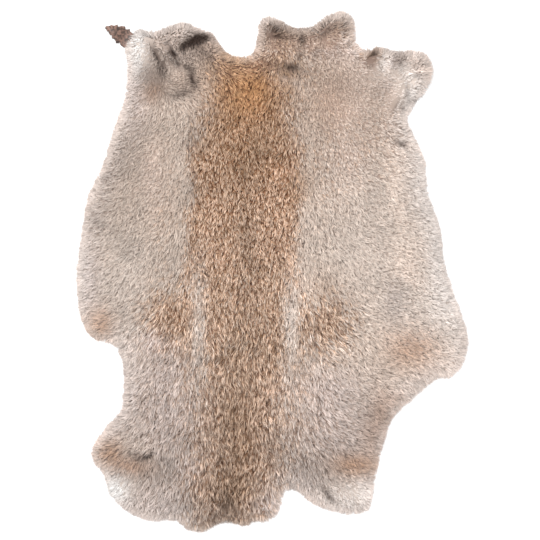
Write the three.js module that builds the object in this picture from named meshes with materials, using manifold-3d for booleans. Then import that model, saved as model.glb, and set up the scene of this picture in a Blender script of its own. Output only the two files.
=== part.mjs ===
// Rabbit pelt: one tanned skin that lies flat with its fur up, the head end towards +Y.
// It is a lumpy slab as high as the fur stands, folded at the forelegs and the neck, with locks
// of fur around its rim. Millimetres, +Z up; the origin is on the surface under its middle.
import * as THREE from 'three';
import { mergeVertices } from 'three/addons/utils/BufferGeometryUtils.js';
import Module from 'manifold-3d';

// Driving dimensions
const PELT_LENGTH = 400; // tip of the neck flap to the rump
const FUR_LOFT = 13; // height of the fur over the middle of the pelt
const RIM_LOFT = 3.4; // height of the fur where the slab ends
const RIM_SLOPE = 24; // width over which the fur falls from its full height to the rim
const LEAST_LOFT = 3.4; // thinnest place, at the bottom of a crease
const LOCK_SHARE = 0.9; // share of the gaps between ribs that have a lock of fur at the rim
const LOCK_REACH = 2; // how far the slab stops short of the rim, where only locks go on
const LOCK_TIP = { least: 0.2, most: 3 }; // how far a lock's tip stands out from the rim
const LOCK_LENGTH = { least: 10, most: 15 };
const LOCK_RADIUS = { least: 4, most: 6.2 };
const LOCK_FLATNESS = 0.55; // height of a lock as a share of a round one's
const LOCK_SWEEP = 0.6; // how strongly the locks along the sides turn towards the rump
const LOCK_CLEARANCE = { least: 0.3, most: 0.8 }; // gap under a lock
const LOCK_SEED = 7;
const STRIP_CLEARANCE = 0.3; // gap under the strip of bare skin

// The tables below are drawn for a pelt of this length and scale with the real one.
const DRAWN_LENGTH = 400;

// Rim of the fur seen from above, clockwise from the left foreleg. One smooth closed curve runs
// through the points [x, y] of all the stretches in turn.
const RIM = [
  {
    stretch: 'left foreleg roll',
    points: [
      [-105, 184], [-99, 187], [-91, 184.5], [-77, 190],
      [-66, 190.5], [-59, 186.5], [-49, 185], [-42, 176],
    ],
  },
  { stretch: 'left neck notch', points: [[-34, 167], [-22, 165], [-13, 168]] },
  { stretch: 'left neck point', points: [[-9.5, 182], [-8.5, 192], [-4, 195.5], [7, 192]] },
  { stretch: 'neck dip', points: [[18, 186.5], [25, 187.5], [31, 187]] },
  { stretch: 'right neck point', points: [[43, 197], [53, 199.5], [61, 196.5], [64, 180]] },
  { stretch: 'right neck notch', points: [[71, 169], [79, 172.5]] },
  {
    stretch: 'right foreleg roll',
    points: [
      [86, 172], [95, 169], [114, 169.5],
      [122, 162], [122, 146], [109, 128],
    ],
  },
  { stretch: 'right armpit', points: [[104, 118], [111, 101], [118, 84]] },
  { stretch: 'right flank', points: [[119.5, 64], [130, 30], [132, 9], [141, -20], [151, -52]] },
  { stretch: 'right groin', points: [[149, -66], [140, -80], [127, -82.5], [109, -98], [93, -113]] },
  {
    stretch: 'right hind leg',
    points: [
      [86, -132], [79, -160], [74, -184],
      [66, -187], [45, -184], [31, -178],
    ],
  },
  { stretch: 'rump notch', points: [[20, -169], [8, -170]] },
  {
    stretch: 'rump',
    points: [
      [6, -182], [-2, -192], [-12, -192], [-21, -196], [-29, -194],
      [-41, -194], [-52, -200], [-64, -199], [-73, -192],
    ],
  },
  {
    stretch: 'left hind leg',
    points: [
      [-91, -192], [-106, -188], [-124, -173], [-129, -157],
      [-138.5, -141], [-127, -121], [-116, -108],
    ],
  },
  { stretch: 'left groin', points: [[-114, -98], [-114, -73], [-121, -57], [-137, -51.5]] },
  {
    stretch: 'left flank',
    points: [
      [-146, -38], [-150, -8], [-146, 30],
      [-141, 58], [-131, 79], [-120, 112],
    ],
  },
  { stretch: 'left armpit', points: [[-112.5, 136], [-110.5, 158], [-112, 173]] },
];

// Folds: soft-sided bands that run from one end to the other and raise the fur, or sink it where
// the rise is negative. The band has fallen to a third of its rise one half-width to the side.
const FOLDS = [
  { fold: 'back', from: [-5, 110], to: [-28, -165], halfWidth: 48, rise: 2.4 },
  { fold: 'left foreleg roll', from: [-88, 179], to: [-70, 184], halfWidth: 7, rise: 7 },
  { fold: 'left foreleg lip', from: [-62, 186], to: [-45, 181], halfWidth: 4, rise: 8 },
  { fold: 'left foreleg hollow', from: [-68, 172.5], to: [-53, 178.5], halfWidth: 4.5, rise: -8 },
  { fold: 'left foreleg under roll', from: [-82, 167], to: [-46, 163], halfWidth: 7, rise: 5 },
  { fold: 'left foreleg crease', from: [-95, 177], to: [-85, 157], halfWidth: 4, rise: -7 },
  { fold: 'left foreleg pleat', from: [-78, 169], to: [-74, 163], halfWidth: 4, rise: -5 },
  { fold: 'left shoulder swirl', from: [-74, 148], to: [-67, 146], halfWidth: 8, rise: 4 },
  { fold: 'left shoulder ring', from: [-61, 152], to: [-60, 141], halfWidth: 4, rise: -4 },
  { fold: 'left neck point', from: [-3, 190], to: [4, 178], halfWidth: 7, rise: 3 },
  { fold: 'right neck point', from: [53, 194], to: [56, 176], halfWidth: 9, rise: 4 },
  { fold: 'neck crease', from: [-12, 162], to: [24, 157], halfWidth: 6, rise: -4 },
  { fold: 'right notch crease', from: [75, 170], to: [80, 158], halfWidth: 4.5, rise: -7 },
  { fold: 'right foreleg lip', from: [88, 166], to: [112, 162], halfWidth: 7, rise: 5 },
  { fold: 'right foreleg roll', from: [116, 158], to: [114, 138], halfWidth: 8, rise: 8 },
  { fold: 'right foreleg crease', from: [105, 146], to: [98, 124], halfWidth: 5, rise: -6 },
  { fold: 'right shoulder', from: [86, 140], to: [84, 112], halfWidth: 10, rise: 3 },
  { fold: 'left flank swell', from: [-112, 60], to: [-118, -30], halfWidth: 16, rise: 2.2 },
  { fold: 'right flank swell', from: [108, 40], to: [122, -50], halfWidth: 16, rise: 2.2 },
  { fold: 'left hind swell', from: [-98, -120], to: [-108, -165], halfWidth: 15, rise: 2 },
  { fold: 'right hind swell', from: [58, -135], to: [58, -172], halfWidth: 13, rise: 2 },
];

// Curls: places where the skin lifts off the surface, highest in the middle of each.
const CURLS = [
  { place: 'left foreleg strip', at: [-124, 185], radius: 13, lift: 5 },
  { place: 'left foreleg roll', at: [-66, 187], radius: 20, lift: 4 },
  { place: 'left neck point', at: [-4, 193], radius: 12, lift: 3 },
  { place: 'right neck point', at: [54, 197], radius: 15, lift: 4 },
  { place: 'right foreleg roll', at: [121, 154], radius: 20, lift: 4 },
  { place: 'left hind point', at: [-136, -142], radius: 12, lift: 1.5 },
];

// Strip of bare leg skin that sticks out at the left foreleg, seen from above.
const BARE_STRIP = {
  points: [[-128.5, 188.5], [-118, 190], [-107, 184], [-98, 178], [-104, 168], [-117, 175], [-125, 183]],
  thickness: 2.6,
  bevel: 0.7,
  curveSteps: 4,
};

// Lumps of the fur, tuft beside tuft: waves over the pelt, each along its own bearing.
const LUMPS = [
  { wave: 73, bearing: 0.5, rise: 0.7 },
  { wave: 53, bearing: 1.9, rise: 0.7 },
  { wave: 41, bearing: 2.7, rise: 0.6 },
];

// Mesh steps
const RIB_COUNT = 210; // ribs from the rim to the middle
const RIM_STEPS = [0, 0.05, 0.12, 0.2, 0.29, 0.39, 0.5, 0.62, 0.74, 0.87]; // rim to hub, fur side
const HUB_STEPS = [1, 0.84, 0.68, 0.52, 0.36, 0.18]; // hub to middle, fur side
const UNDER_STEPS = [0, 0.12, 0.29, 0.55]; // rim to hub, flesh side
const HUB_PASSES = 400; // smoothing passes that turn the rim into the hub
const HUB_SIZE = 0.72; // the hub is drawn in to this share of the smoothed rim
const SQUARE_PASSES = 6; // smoothing passes before the rim's sideways direction is taken
const RIB_BEND = 10; // how far a rib runs square to the rim before it turns to the hub

const scale = PELT_LENGTH / DRAWN_LENGTH;

// A repeatable stream of numbers from 0 to 1 (a mixed 32-bit counter).
function numberStream(seed) {
  let state = seed;
  return () => {
    state = (state + 0x6d2b79f5) | 0;
    let mixed = Math.imul(state ^ (state >>> 15), 1 | state);
    mixed = (mixed + Math.imul(mixed ^ (mixed >>> 7), 61 | mixed)) ^ mixed;
    return ((mixed ^ (mixed >>> 14)) >>> 0) / 2 ** 32;
  };
}

// Evenly spaced points of the closed curve through the rim table.
function rimPoints() {
  const knots = RIM.flatMap((row) => row.points);
  const path = knots.map(([x, y]) => new THREE.Vector3(x * scale, y * scale, 0));
  const curve = new THREE.CatmullRomCurve3(path, true, 'centripetal');
  curve.arcLengthDivisions = 8 * RIB_COUNT;
  return curve.getSpacedPoints(RIB_COUNT).slice(0, RIB_COUNT);
}

// A closed ring of points, each moved half-way to its neighbours' middle once a pass.
function smoothed(ring, passes) {
  let smooth = ring;
  for (let pass = 0; pass < passes; pass += 1) {
    const last = smooth;
    smooth = last.map((point, i) => {
      const before = last[(i + RIB_COUNT - 1) % RIB_COUNT];
      const after = last[(i + 1) % RIB_COUNT];
      return before.clone().add(after).addScaledVector(point, 2).divideScalar(4);
    });
  }
  return smooth;
}

// Sideways directions out of a ring, one at each of its points.
function outwardsOf(ring) {
  return ring.map((_, i) => {
    const before = ring[(i + RIB_COUNT - 1) % RIB_COUNT];
    const after = ring[(i + 1) % RIB_COUNT];
    return new THREE.Vector3(before.y - after.y, after.x - before.x, 0).normalize();
  });
}

// Ribs from the rim to the hub, which is the rim with its points and notches smoothed away, drawn
// in around its middle. Each rib leaves the rim square to it and bends to the hub.
function ribCurves(rim) {
  const ring = smoothed(rim, HUB_PASSES);
  const middle = ring.reduce((sum, point) => sum.add(point), new THREE.Vector3()).divideScalar(RIB_COUNT);
  const outwards = outwardsOf(smoothed(rim, SQUARE_PASSES));
  const ribs = rim.map((point, i) => {
    const bend = point.clone().addScaledVector(outwards[i], -RIB_BEND * scale);
    return new THREE.QuadraticBezierCurve3(point, bend, middle.clone().lerp(ring[i], HUB_SIZE));
  });
  return { ribs, middle };
}

// Bell-shaped weight of a band: 1 along its line, falling off to the side and past its ends.
function bandWeight(x, y, { from, to, halfWidth }) {
  const start = new THREE.Vector2(...from).multiplyScalar(scale);
  const run = new THREE.Vector2(...to).multiplyScalar(scale).sub(start);
  const offset = new THREE.Vector2(x, y).sub(start);
  const along = THREE.MathUtils.clamp(offset.dot(run) / run.lengthSq(), 0, 1);
  return Math.exp(-offset.addScaledVector(run, -along).lengthSq() / (halfWidth * scale) ** 2);
}

// Height of the flesh side above the surface: zero but for the curls.
function fleshHeight(x, y) {
  const lifts = CURLS.map(({ at, radius, lift }) => {
    const reach = Math.hypot(x - at[0] * scale, y - at[1] * scale) / (radius * scale);
    return reach < 1 ? lift * (1 - reach ** 2) ** 2 : 0;
  });
  return scale * Math.max(...lifts);
}

// Height of the fur above the flesh side, inset being the distance in from the rim: a quarter
// round at the rim, then folds and lumps, none of them at full strength at the very rim.
function furLoft(x, y, inset) {
  const rise = Math.min(inset / (RIM_SLOPE * scale), 1);
  const round = Math.sqrt(1 - (1 - rise) ** 2);
  const folds = FOLDS.reduce((sum, fold) => sum + fold.rise * bandWeight(x, y, fold), 0);
  const lumps = LUMPS.reduce((sum, { wave, bearing, rise: height }) => {
    const travel = (x * Math.cos(bearing) + y * Math.sin(bearing)) / (wave * scale);
    return sum + height * Math.sin(2 * Math.PI * travel);
  }, 0);
  const loft = RIM_LOFT + (FUR_LOFT - RIM_LOFT + folds + lumps) * round;
  return scale * Math.max(loft, LEAST_LOFT);
}

// The slab: rings of points from the rim to the middle, on the fur side and on the flesh side,
// joined ring to ring, closed by a fan at each middle and by a wall at the rim.
function slabGeometry(ribs, middle) {
  const positions = [];
  const triangles = [];
  const addPoint = (point, inset, furSide) => {
    const flesh = fleshHeight(point.x, point.y);
    positions.push(point.x, point.y, furSide ? flesh + furLoft(point.x, point.y, inset) : flesh);
    return positions.length / 3 - 1;
  };
  const rimRing = (step, furSide) => ribs.map((rib) => {
    const point = rib.getPoint(step);
    return addPoint(point, point.distanceTo(rib.v0), furSide);
  });
  const hubRing = (step, furSide) => ribs.map((rib) => {
    const point = middle.clone().lerp(rib.v2, step);
    return addPoint(point, point.distanceTo(rib.v0), furSide);
  });
  const joinRings = (outer, inner) => outer.forEach((corner, i) => {
    const next = (i + 1) % RIB_COUNT;
    triangles.push(corner, inner[i], outer[next], outer[next], inner[i], inner[next]);
  });
  const closeFan = (ring, centre) => ring.forEach((corner, i) => {
    triangles.push(corner, centre, ring[(i + 1) % RIB_COUNT]);
  });

  const furRim = RIM_STEPS.map((step) => rimRing(step, true));
  const furHub = HUB_STEPS.map((step) => hubRing(step, true));
  const fleshRim = UNDER_STEPS.map((step) => rimRing(step, false));
  const fleshHub = hubRing(1, false);
  const furMiddle = addPoint(middle, RIM_SLOPE * scale, true);
  const fleshMiddle = addPoint(middle, RIM_SLOPE * scale, false);
  const rings = [fleshHub, ...fleshRim.reverse(), ...furRim, ...furHub];
  rings.slice(1).forEach((ring, i) => joinRings(rings[i], ring));
  closeFan(rings.at(-1), furMiddle);
  closeFan([...rings[0]].reverse(), fleshMiddle);

  const geometry = new THREE.BufferGeometry();
  geometry.setAttribute('position', new THREE.Float32BufferAttribute(positions, 3));
  geometry.setIndex(triangles);
  return geometry;
}

// One lock: a three-sided spike that lies level on its flat side. Its root is inside the slab's
// rim and its tip points outwards, swept towards the rump along the sides as the fur is.
function lockGeometry(tip, outwards, { length, radius, clearance }) {
  const heading = outwards.clone();
  heading.y -= LOCK_SWEEP * (1 - outwards.y) / 2;
  heading.normalize();
  const root = tip.clone().addScaledVector(heading, -length);
  const droop = LOCK_FLATNESS * radius / 2;
  const height = fleshHeight(root.x, root.y) + clearance + droop;
  const spike = new THREE.ConeGeometry(radius, length, 3);
  spike.scale(1, 1, LOCK_FLATNESS);
  spike.translate(0, length / 2, 0);
  spike.rotateX(-Math.asin(droop / length));
  spike.rotateZ(Math.atan2(heading.y, heading.x) - Math.PI / 2);
  return spike.translate(root.x, root.y, height);
}

// The locks: one in the middle of most gaps between ribs, with scatter in reach and size.
function lockGeometries(rim) {
  const next = numberStream(LOCK_SEED);
  const between = ({ least, most }) => scale * THREE.MathUtils.lerp(least, most, next());
  const outwards = outwardsOf(rim);
  const gaps = [...rim.keys()].filter(() => next() < LOCK_SHARE);
  return gaps.map((gap) => {
    const after = (gap + 1) % RIB_COUNT;
    const heading = outwards[gap].clone().add(outwards[after]).normalize();
    const tip = rim[gap].clone().lerp(rim[after], 0.5).addScaledVector(heading, between(LOCK_TIP));
    const length = between(LOCK_LENGTH);
    const radius = between(LOCK_RADIUS);
    const clearance = between(LOCK_CLEARANCE);
    return lockGeometry(tip, heading, { length, radius, clearance });
  });
}

// The strip of bare leg skin: its outline, as thick as skin, lifted as the skin under it is.
function stripGeometry() {
  const { points, thickness, bevel, curveSteps } = BARE_STRIP;
  const path = points.map(([x, y]) => new THREE.Vector3(x * scale, y * scale, 0));
  const curve = new THREE.CatmullRomCurve3(path, true, 'centripetal');
  const outline = new THREE.Shape(curve.getPoints(curveSteps * points.length).slice(0, -1));
  const strip = new THREE.ExtrudeGeometry(outline, {
    depth: (thickness - 2 * bevel) * scale,
    bevelThickness: bevel * scale,
    bevelSize: bevel * scale,
    bevelOffset: -bevel * scale,
    bevelSegments: 1,
  });
  const position = strip.attributes.position;
  for (let i = 0; i < position.count; i += 1) {
    const lift = fleshHeight(position.getX(i), position.getY(i)) + (bevel + STRIP_CLEARANCE) * scale;
    position.setZ(i, position.getZ(i) + lift);
  }
  return strip;
}

// Joining of closed meshes
const wasm = await Module();
wasm.setup();

function toSolid(geometry) {
  geometry.deleteAttribute('normal');
  geometry.deleteAttribute('uv');
  const merged = mergeVertices(geometry);
  const vertProperties = new Float32Array(merged.attributes.position.array);
  const triVerts = new Uint32Array(merged.index.array);
  return new wasm.Manifold(new wasm.Mesh({ numProp: 3, vertProperties, triVerts }));
}

function toGeometry(solid) {
  const { vertProperties, triVerts } = solid.getMesh();
  const geometry = new THREE.BufferGeometry();
  geometry.setAttribute('position', new THREE.BufferAttribute(vertProperties, 3));
  geometry.setIndex(new THREE.BufferAttribute(triVerts, 1));
  geometry.computeVertexNormals();
  return geometry;
}

// The pelt: the slab stops a little short of the rim, and the locks and the strip go on past it.
function peltGeometry() {
  const rim = rimPoints();
  const outwards = outwardsOf(rim);
  const slabRim = rim.map((point, i) => point.clone().addScaledVector(outwards[i], -LOCK_REACH * scale));
  const { ribs, middle } = ribCurves(slabRim);
  const slab = toSolid(slabGeometry(ribs, middle));
  const outliers = [stripGeometry(), ...lockGeometries(rim)].map(toSolid);
  return toGeometry(outliers.reduce((joined, outlier) => joined.add(outlier), slab));
}

const fur = new THREE.MeshStandardMaterial({ color: '#a08f7f', roughness: 0.95, metalness: 0 });
const pelt = new THREE.Mesh(peltGeometry(), fur);
pelt.name = 'pelt';

const part = new THREE.Group();
part.add(pelt);

export default part;
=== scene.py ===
"""Rabbit pelt, lying flat with its fur up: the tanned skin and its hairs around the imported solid.

The skin is one thin sheet on the same ribs as the solid. The fur is meshes of spindle-shaped hairs
that stand on the skin, as high and as far out as the solid goes. Tables are in millimetres with the
head end towards +Y, and the scene is in metres.
"""

import math
from collections import namedtuple

import bpy
import numpy as np
from bpy.props import FloatProperty, FloatVectorProperty, IntProperty, PointerProperty
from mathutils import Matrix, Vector


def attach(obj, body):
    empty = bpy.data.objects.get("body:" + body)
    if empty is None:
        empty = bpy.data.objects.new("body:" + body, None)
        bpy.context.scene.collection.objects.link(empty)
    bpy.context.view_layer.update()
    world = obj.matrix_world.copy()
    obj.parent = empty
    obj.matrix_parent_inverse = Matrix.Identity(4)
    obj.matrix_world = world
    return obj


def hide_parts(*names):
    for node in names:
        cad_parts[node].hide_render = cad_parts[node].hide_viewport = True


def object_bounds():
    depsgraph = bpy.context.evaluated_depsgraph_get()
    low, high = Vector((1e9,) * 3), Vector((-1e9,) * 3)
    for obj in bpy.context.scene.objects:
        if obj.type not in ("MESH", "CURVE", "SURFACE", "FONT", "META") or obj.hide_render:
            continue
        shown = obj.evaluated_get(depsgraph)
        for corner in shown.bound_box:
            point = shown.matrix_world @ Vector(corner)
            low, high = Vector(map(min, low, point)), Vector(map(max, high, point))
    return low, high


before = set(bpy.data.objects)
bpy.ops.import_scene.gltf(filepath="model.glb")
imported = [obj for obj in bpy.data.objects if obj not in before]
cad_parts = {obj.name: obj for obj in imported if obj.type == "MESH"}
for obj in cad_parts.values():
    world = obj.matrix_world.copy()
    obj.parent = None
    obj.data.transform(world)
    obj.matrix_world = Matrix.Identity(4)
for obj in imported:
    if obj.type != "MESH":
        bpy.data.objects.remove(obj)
CAD_LOW, CAD_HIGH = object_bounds()

bl_info = {
    "name": "Rabbit pelt",
    "version": (1, 0, 0),
    "blender": (4, 5, 0),
    "location": "View3D > Sidebar > Pelt",
    "description": "Dresses the packed solid of a rabbit pelt with its skin and its fur",
    "category": "Add Mesh",
}

MM = 0.001

# Rim of the fur seen from above, clockwise from the left foreleg: one smooth closed curve runs
# through the points of all the stretches in turn.
RIM = {
    "left foreleg roll": ((-105, 184), (-99, 187), (-91, 184.5), (-77, 190),
                          (-66, 190.5), (-59, 186.5), (-49, 185), (-42, 176)),
    "left neck notch": ((-34, 167), (-22, 165), (-13, 168)),
    "left neck point": ((-9.5, 182), (-8.5, 192), (-4, 195.5), (7, 192)),
    "neck dip": ((18, 186.5), (25, 187.5), (31, 187)),
    "right neck point": ((43, 197), (53, 199.5), (61, 196.5), (64, 180)),
    "right neck notch": ((71, 169), (79, 172.5)),
    "right foreleg roll": ((86, 172), (95, 169), (114, 169.5), (122, 162), (122, 146), (109, 128)),
    "right armpit": ((104, 118), (111, 101), (118, 84)),
    "right flank": ((119.5, 64), (130, 30), (132, 9), (141, -20), (151, -52)),
    "right groin": ((149, -66), (140, -80), (127, -82.5), (109, -98), (93, -113)),
    "right hind leg": ((86, -132), (79, -160), (74, -184), (66, -187), (45, -184), (31, -178)),
    "rump notch": ((20, -169), (8, -170)),
    "rump": ((6, -182), (-2, -192), (-12, -192), (-21, -196), (-29, -194),
             (-41, -194), (-52, -200), (-64, -199), (-73, -192)),
    "left hind leg": ((-91, -192), (-106, -188), (-124, -173), (-129, -157),
                      (-138.5, -141), (-127, -121), (-116, -108)),
    "left groin": ((-114, -98), (-114, -73), (-121, -57), (-137, -51.5)),
    "left flank": ((-146, -38), (-150, -8), (-146, 30), (-141, 58), (-131, 79), (-120, 112)),
    "left armpit": ((-112.5, 136), (-110.5, 158), (-112, 173)),
}

# Folds: soft-sided bands from start to end that raise the fur, or sink it where rise is negative.
# Where skin is above 0 the skin itself is raised by that share of the rise.
Fold = namedtuple("Fold", "name start end half_width rise skin")
FOLDS = (
    Fold("back", (-5, 110), (-28, -165), 48, 2.4, 0),
    Fold("left foreleg roll", (-88, 179), (-70, 184), 7, 7, 0.5),
    Fold("left foreleg lip", (-62, 186), (-45, 181), 4, 8, 0.5),
    Fold("left foreleg hollow", (-68, 172.5), (-53, 178.5), 4.5, -10, 0),
    Fold("left foreleg outer lobe", (-87, 183), (-79, 169), 4.5, 3, 0),
    Fold("left foreleg inner lobe", (-74, 187), (-71, 175), 4.5, 4, 0),
    Fold("left foreleg under roll", (-82, 167), (-46, 163), 7, 5, 0.5),
    Fold("left foreleg crease", (-94, 176), (-85, 158), 2.8, -8, 0),
    Fold("left foreleg pleat", (-79, 171), (-75, 165), 2.6, -7, 0),
    Fold("left shoulder swirl", (-74, 148), (-67, 146), 8, 4, 0.5),
    Fold("left shoulder ring", (-62, 153), (-60, 142), 3.2, -5, 0),
    Fold("left shoulder ring, head side", (-83, 157), (-67, 157), 3, -4, 0),
    Fold("left neck point", (-3, 190), (4, 178), 7, 3, 0.5),
    Fold("right neck point", (53, 194), (56, 176), 9, 4, 0.5),
    Fold("neck crease", (-12, 162), (24, 157), 6, -4, 0),
    Fold("right notch crease", (75, 170), (80, 158), 4.5, -7, 0),
    Fold("right foreleg lip", (88, 166), (112, 162), 7, 5, 0.5),
    Fold("right foreleg roll", (116, 158), (114, 138), 8, 8, 0.5),
    Fold("right foreleg crease", (105, 146), (98, 124), 3.5, -6, 0),
    Fold("right foreleg dent", (122, 157), (112, 156), 2.6, -6, 0),
    Fold("right foreleg groove", (98, 166), (97, 152), 3.5, -4, 0),
    Fold("right elbow", (95, 99), (105, 96), 3, -6, 0),
    Fold("right shoulder", (86, 140), (84, 112), 10, 3, 0.5),
    Fold("left flank swell", (-112, 60), (-118, -30), 16, 2.2, 0),
    Fold("right flank swell", (108, 40), (122, -50), 16, 2.2, 0),
    Fold("left hind swell", (-98, -120), (-108, -165), 15, 2, 0),
    Fold("right hind swell", (58, -135), (58, -172), 13, 2, 0),
    Fold("left thigh crease", (-104, -142), (-92, -143), 2.6, -5, 0),
    Fold("right thigh crease", (41, -168), (50, -178), 2.8, -5, 0),
    Fold("left side dent", (-136, 67), (-126, 71), 3, -4, 0),
    Fold("left side wave", (-138, 33), (-122, 40), 4, -3, 0),
    Fold("left side low wave", (-138, 26), (-112, 18), 4, -2.5, 0),
)

# Curls: places where the skin lifts off the floor, highest in the middle of each.
Curl = namedtuple("Curl", "name at radius lift")
CURLS = (
    Curl("left foreleg strip", (-124, 185), 13, 5),
    Curl("left foreleg roll", (-66, 187), 20, 4),
    Curl("left neck point", (-4, 193), 12, 3),
    Curl("right neck point", (54, 197), 15, 4),
    Curl("right foreleg roll", (121, 154), 20, 4),
    Curl("left hind point", (-136, -142), 12, 1.5),
)

# Lumps of the fur, tuft beside tuft: waves over the pelt, each along its own bearing.
Lump = namedtuple("Lump", "wave bearing rise")
LUMPS = (Lump(73, 0.5, 0.7), Lump(53, 1.9, 0.7), Lump(41, 2.7, 0.6))

# Height of the fur: over the middle, at the rim, how wide the fall between them is, and how far inside
# the rim it ends.
FUR_LOFT = 13.0
RIM_LOFT = 3.4
RIM_SLOPE = 24.0
SLAB_STOP = 2.0

# Strip of bare leg skin at the left foreleg: places on its middle line, with its half-width there.
StripPoint = namedtuple("StripPoint", "x y half_width")
STRIP = (
    StripPoint(-98, 172, 6.0),
    StripPoint(-106, 176, 6.5),
    StripPoint(-112, 179.5, 6.5),
    StripPoint(-117, 183, 6.8),
    StripPoint(-121.5, 185.5, 4.8),
    StripPoint(-125, 187, 3.0),
    StripPoint(-128.5, 188.3, 0.8),
)
# Its mesh, how much thicker it is than the skin, its lift, and the half-width below which it gets thinner.
STRIP_STATIONS = 31
STRIP_SIDES = 16
STRIP_EXTRA = 0.6
STRIP_LIFT = 0.4
STRIP_SHRINKS_FROM = 3.0

# Wrinkled edges of the strip: waves along it, each with so many radians a point and its share of the width.
Ripple = namedtuple("Ripple", "pace share")
STRIP_RIPPLES = (Ripple(7.3, 0.12), Ripple(12.1, 0.1))

# Unevenness: so long a wave in millimetres, its size and the seed of its bearings.
Uneven = namedtuple("Uneven", "wave size seed")

# Ticked back, brown with cream hair ends: at each place along the pelt its left and right edge and how
# soft these are. It fades out between two places at the head end, and its edges wander by millimetres.
Saddle = namedtuple("Saddle", "at left right soft")
SADDLE = (
    Saddle(-200, -62, 6, 24),
    Saddle(-120, -62, 10, 24),
    Saddle(-60, -64, 18, 18),
    Saddle(0, -66, 21, 8),
    Saddle(85, -62, 21, 9),
    Saddle(101, -58, 19, 15),
    Saddle(124, -49, 14, 24),
    Saddle(132, -46, 11, 24),
    Saddle(151, -39, -2, 22),
    Saddle(165, -34, -8, 18),
    Saddle(200, -28, -8, 14),
)
SADDLE_FADE = (154, 178)
SADDLE_WANDER = (Uneven(30, 1.6, 3),)

# A hair is ticked or plain by a throw of dice against the ticked weight, with a soft change between them.
DICE_LEAST = 0.12
DICE_RANGE = 0.76
DICE_SOFT = 0.2

# Fur at the rim: how far in it is tinted, how much smoke and cream it gets, and how far the back is spared.
RIM_TINT_REACH = 15.0
RIM_SMOKE = 0.5
RIM_CREAM = 0.12
RIM_SPARES_BACK = 0.4

# Faint clouds of shade all over, and the lightest that shade may make the fur.
CLOUDS = (Uneven(55, 0.02, 8), Uneven(22, 0.02, 9))
LIGHTEST = -0.25

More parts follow.
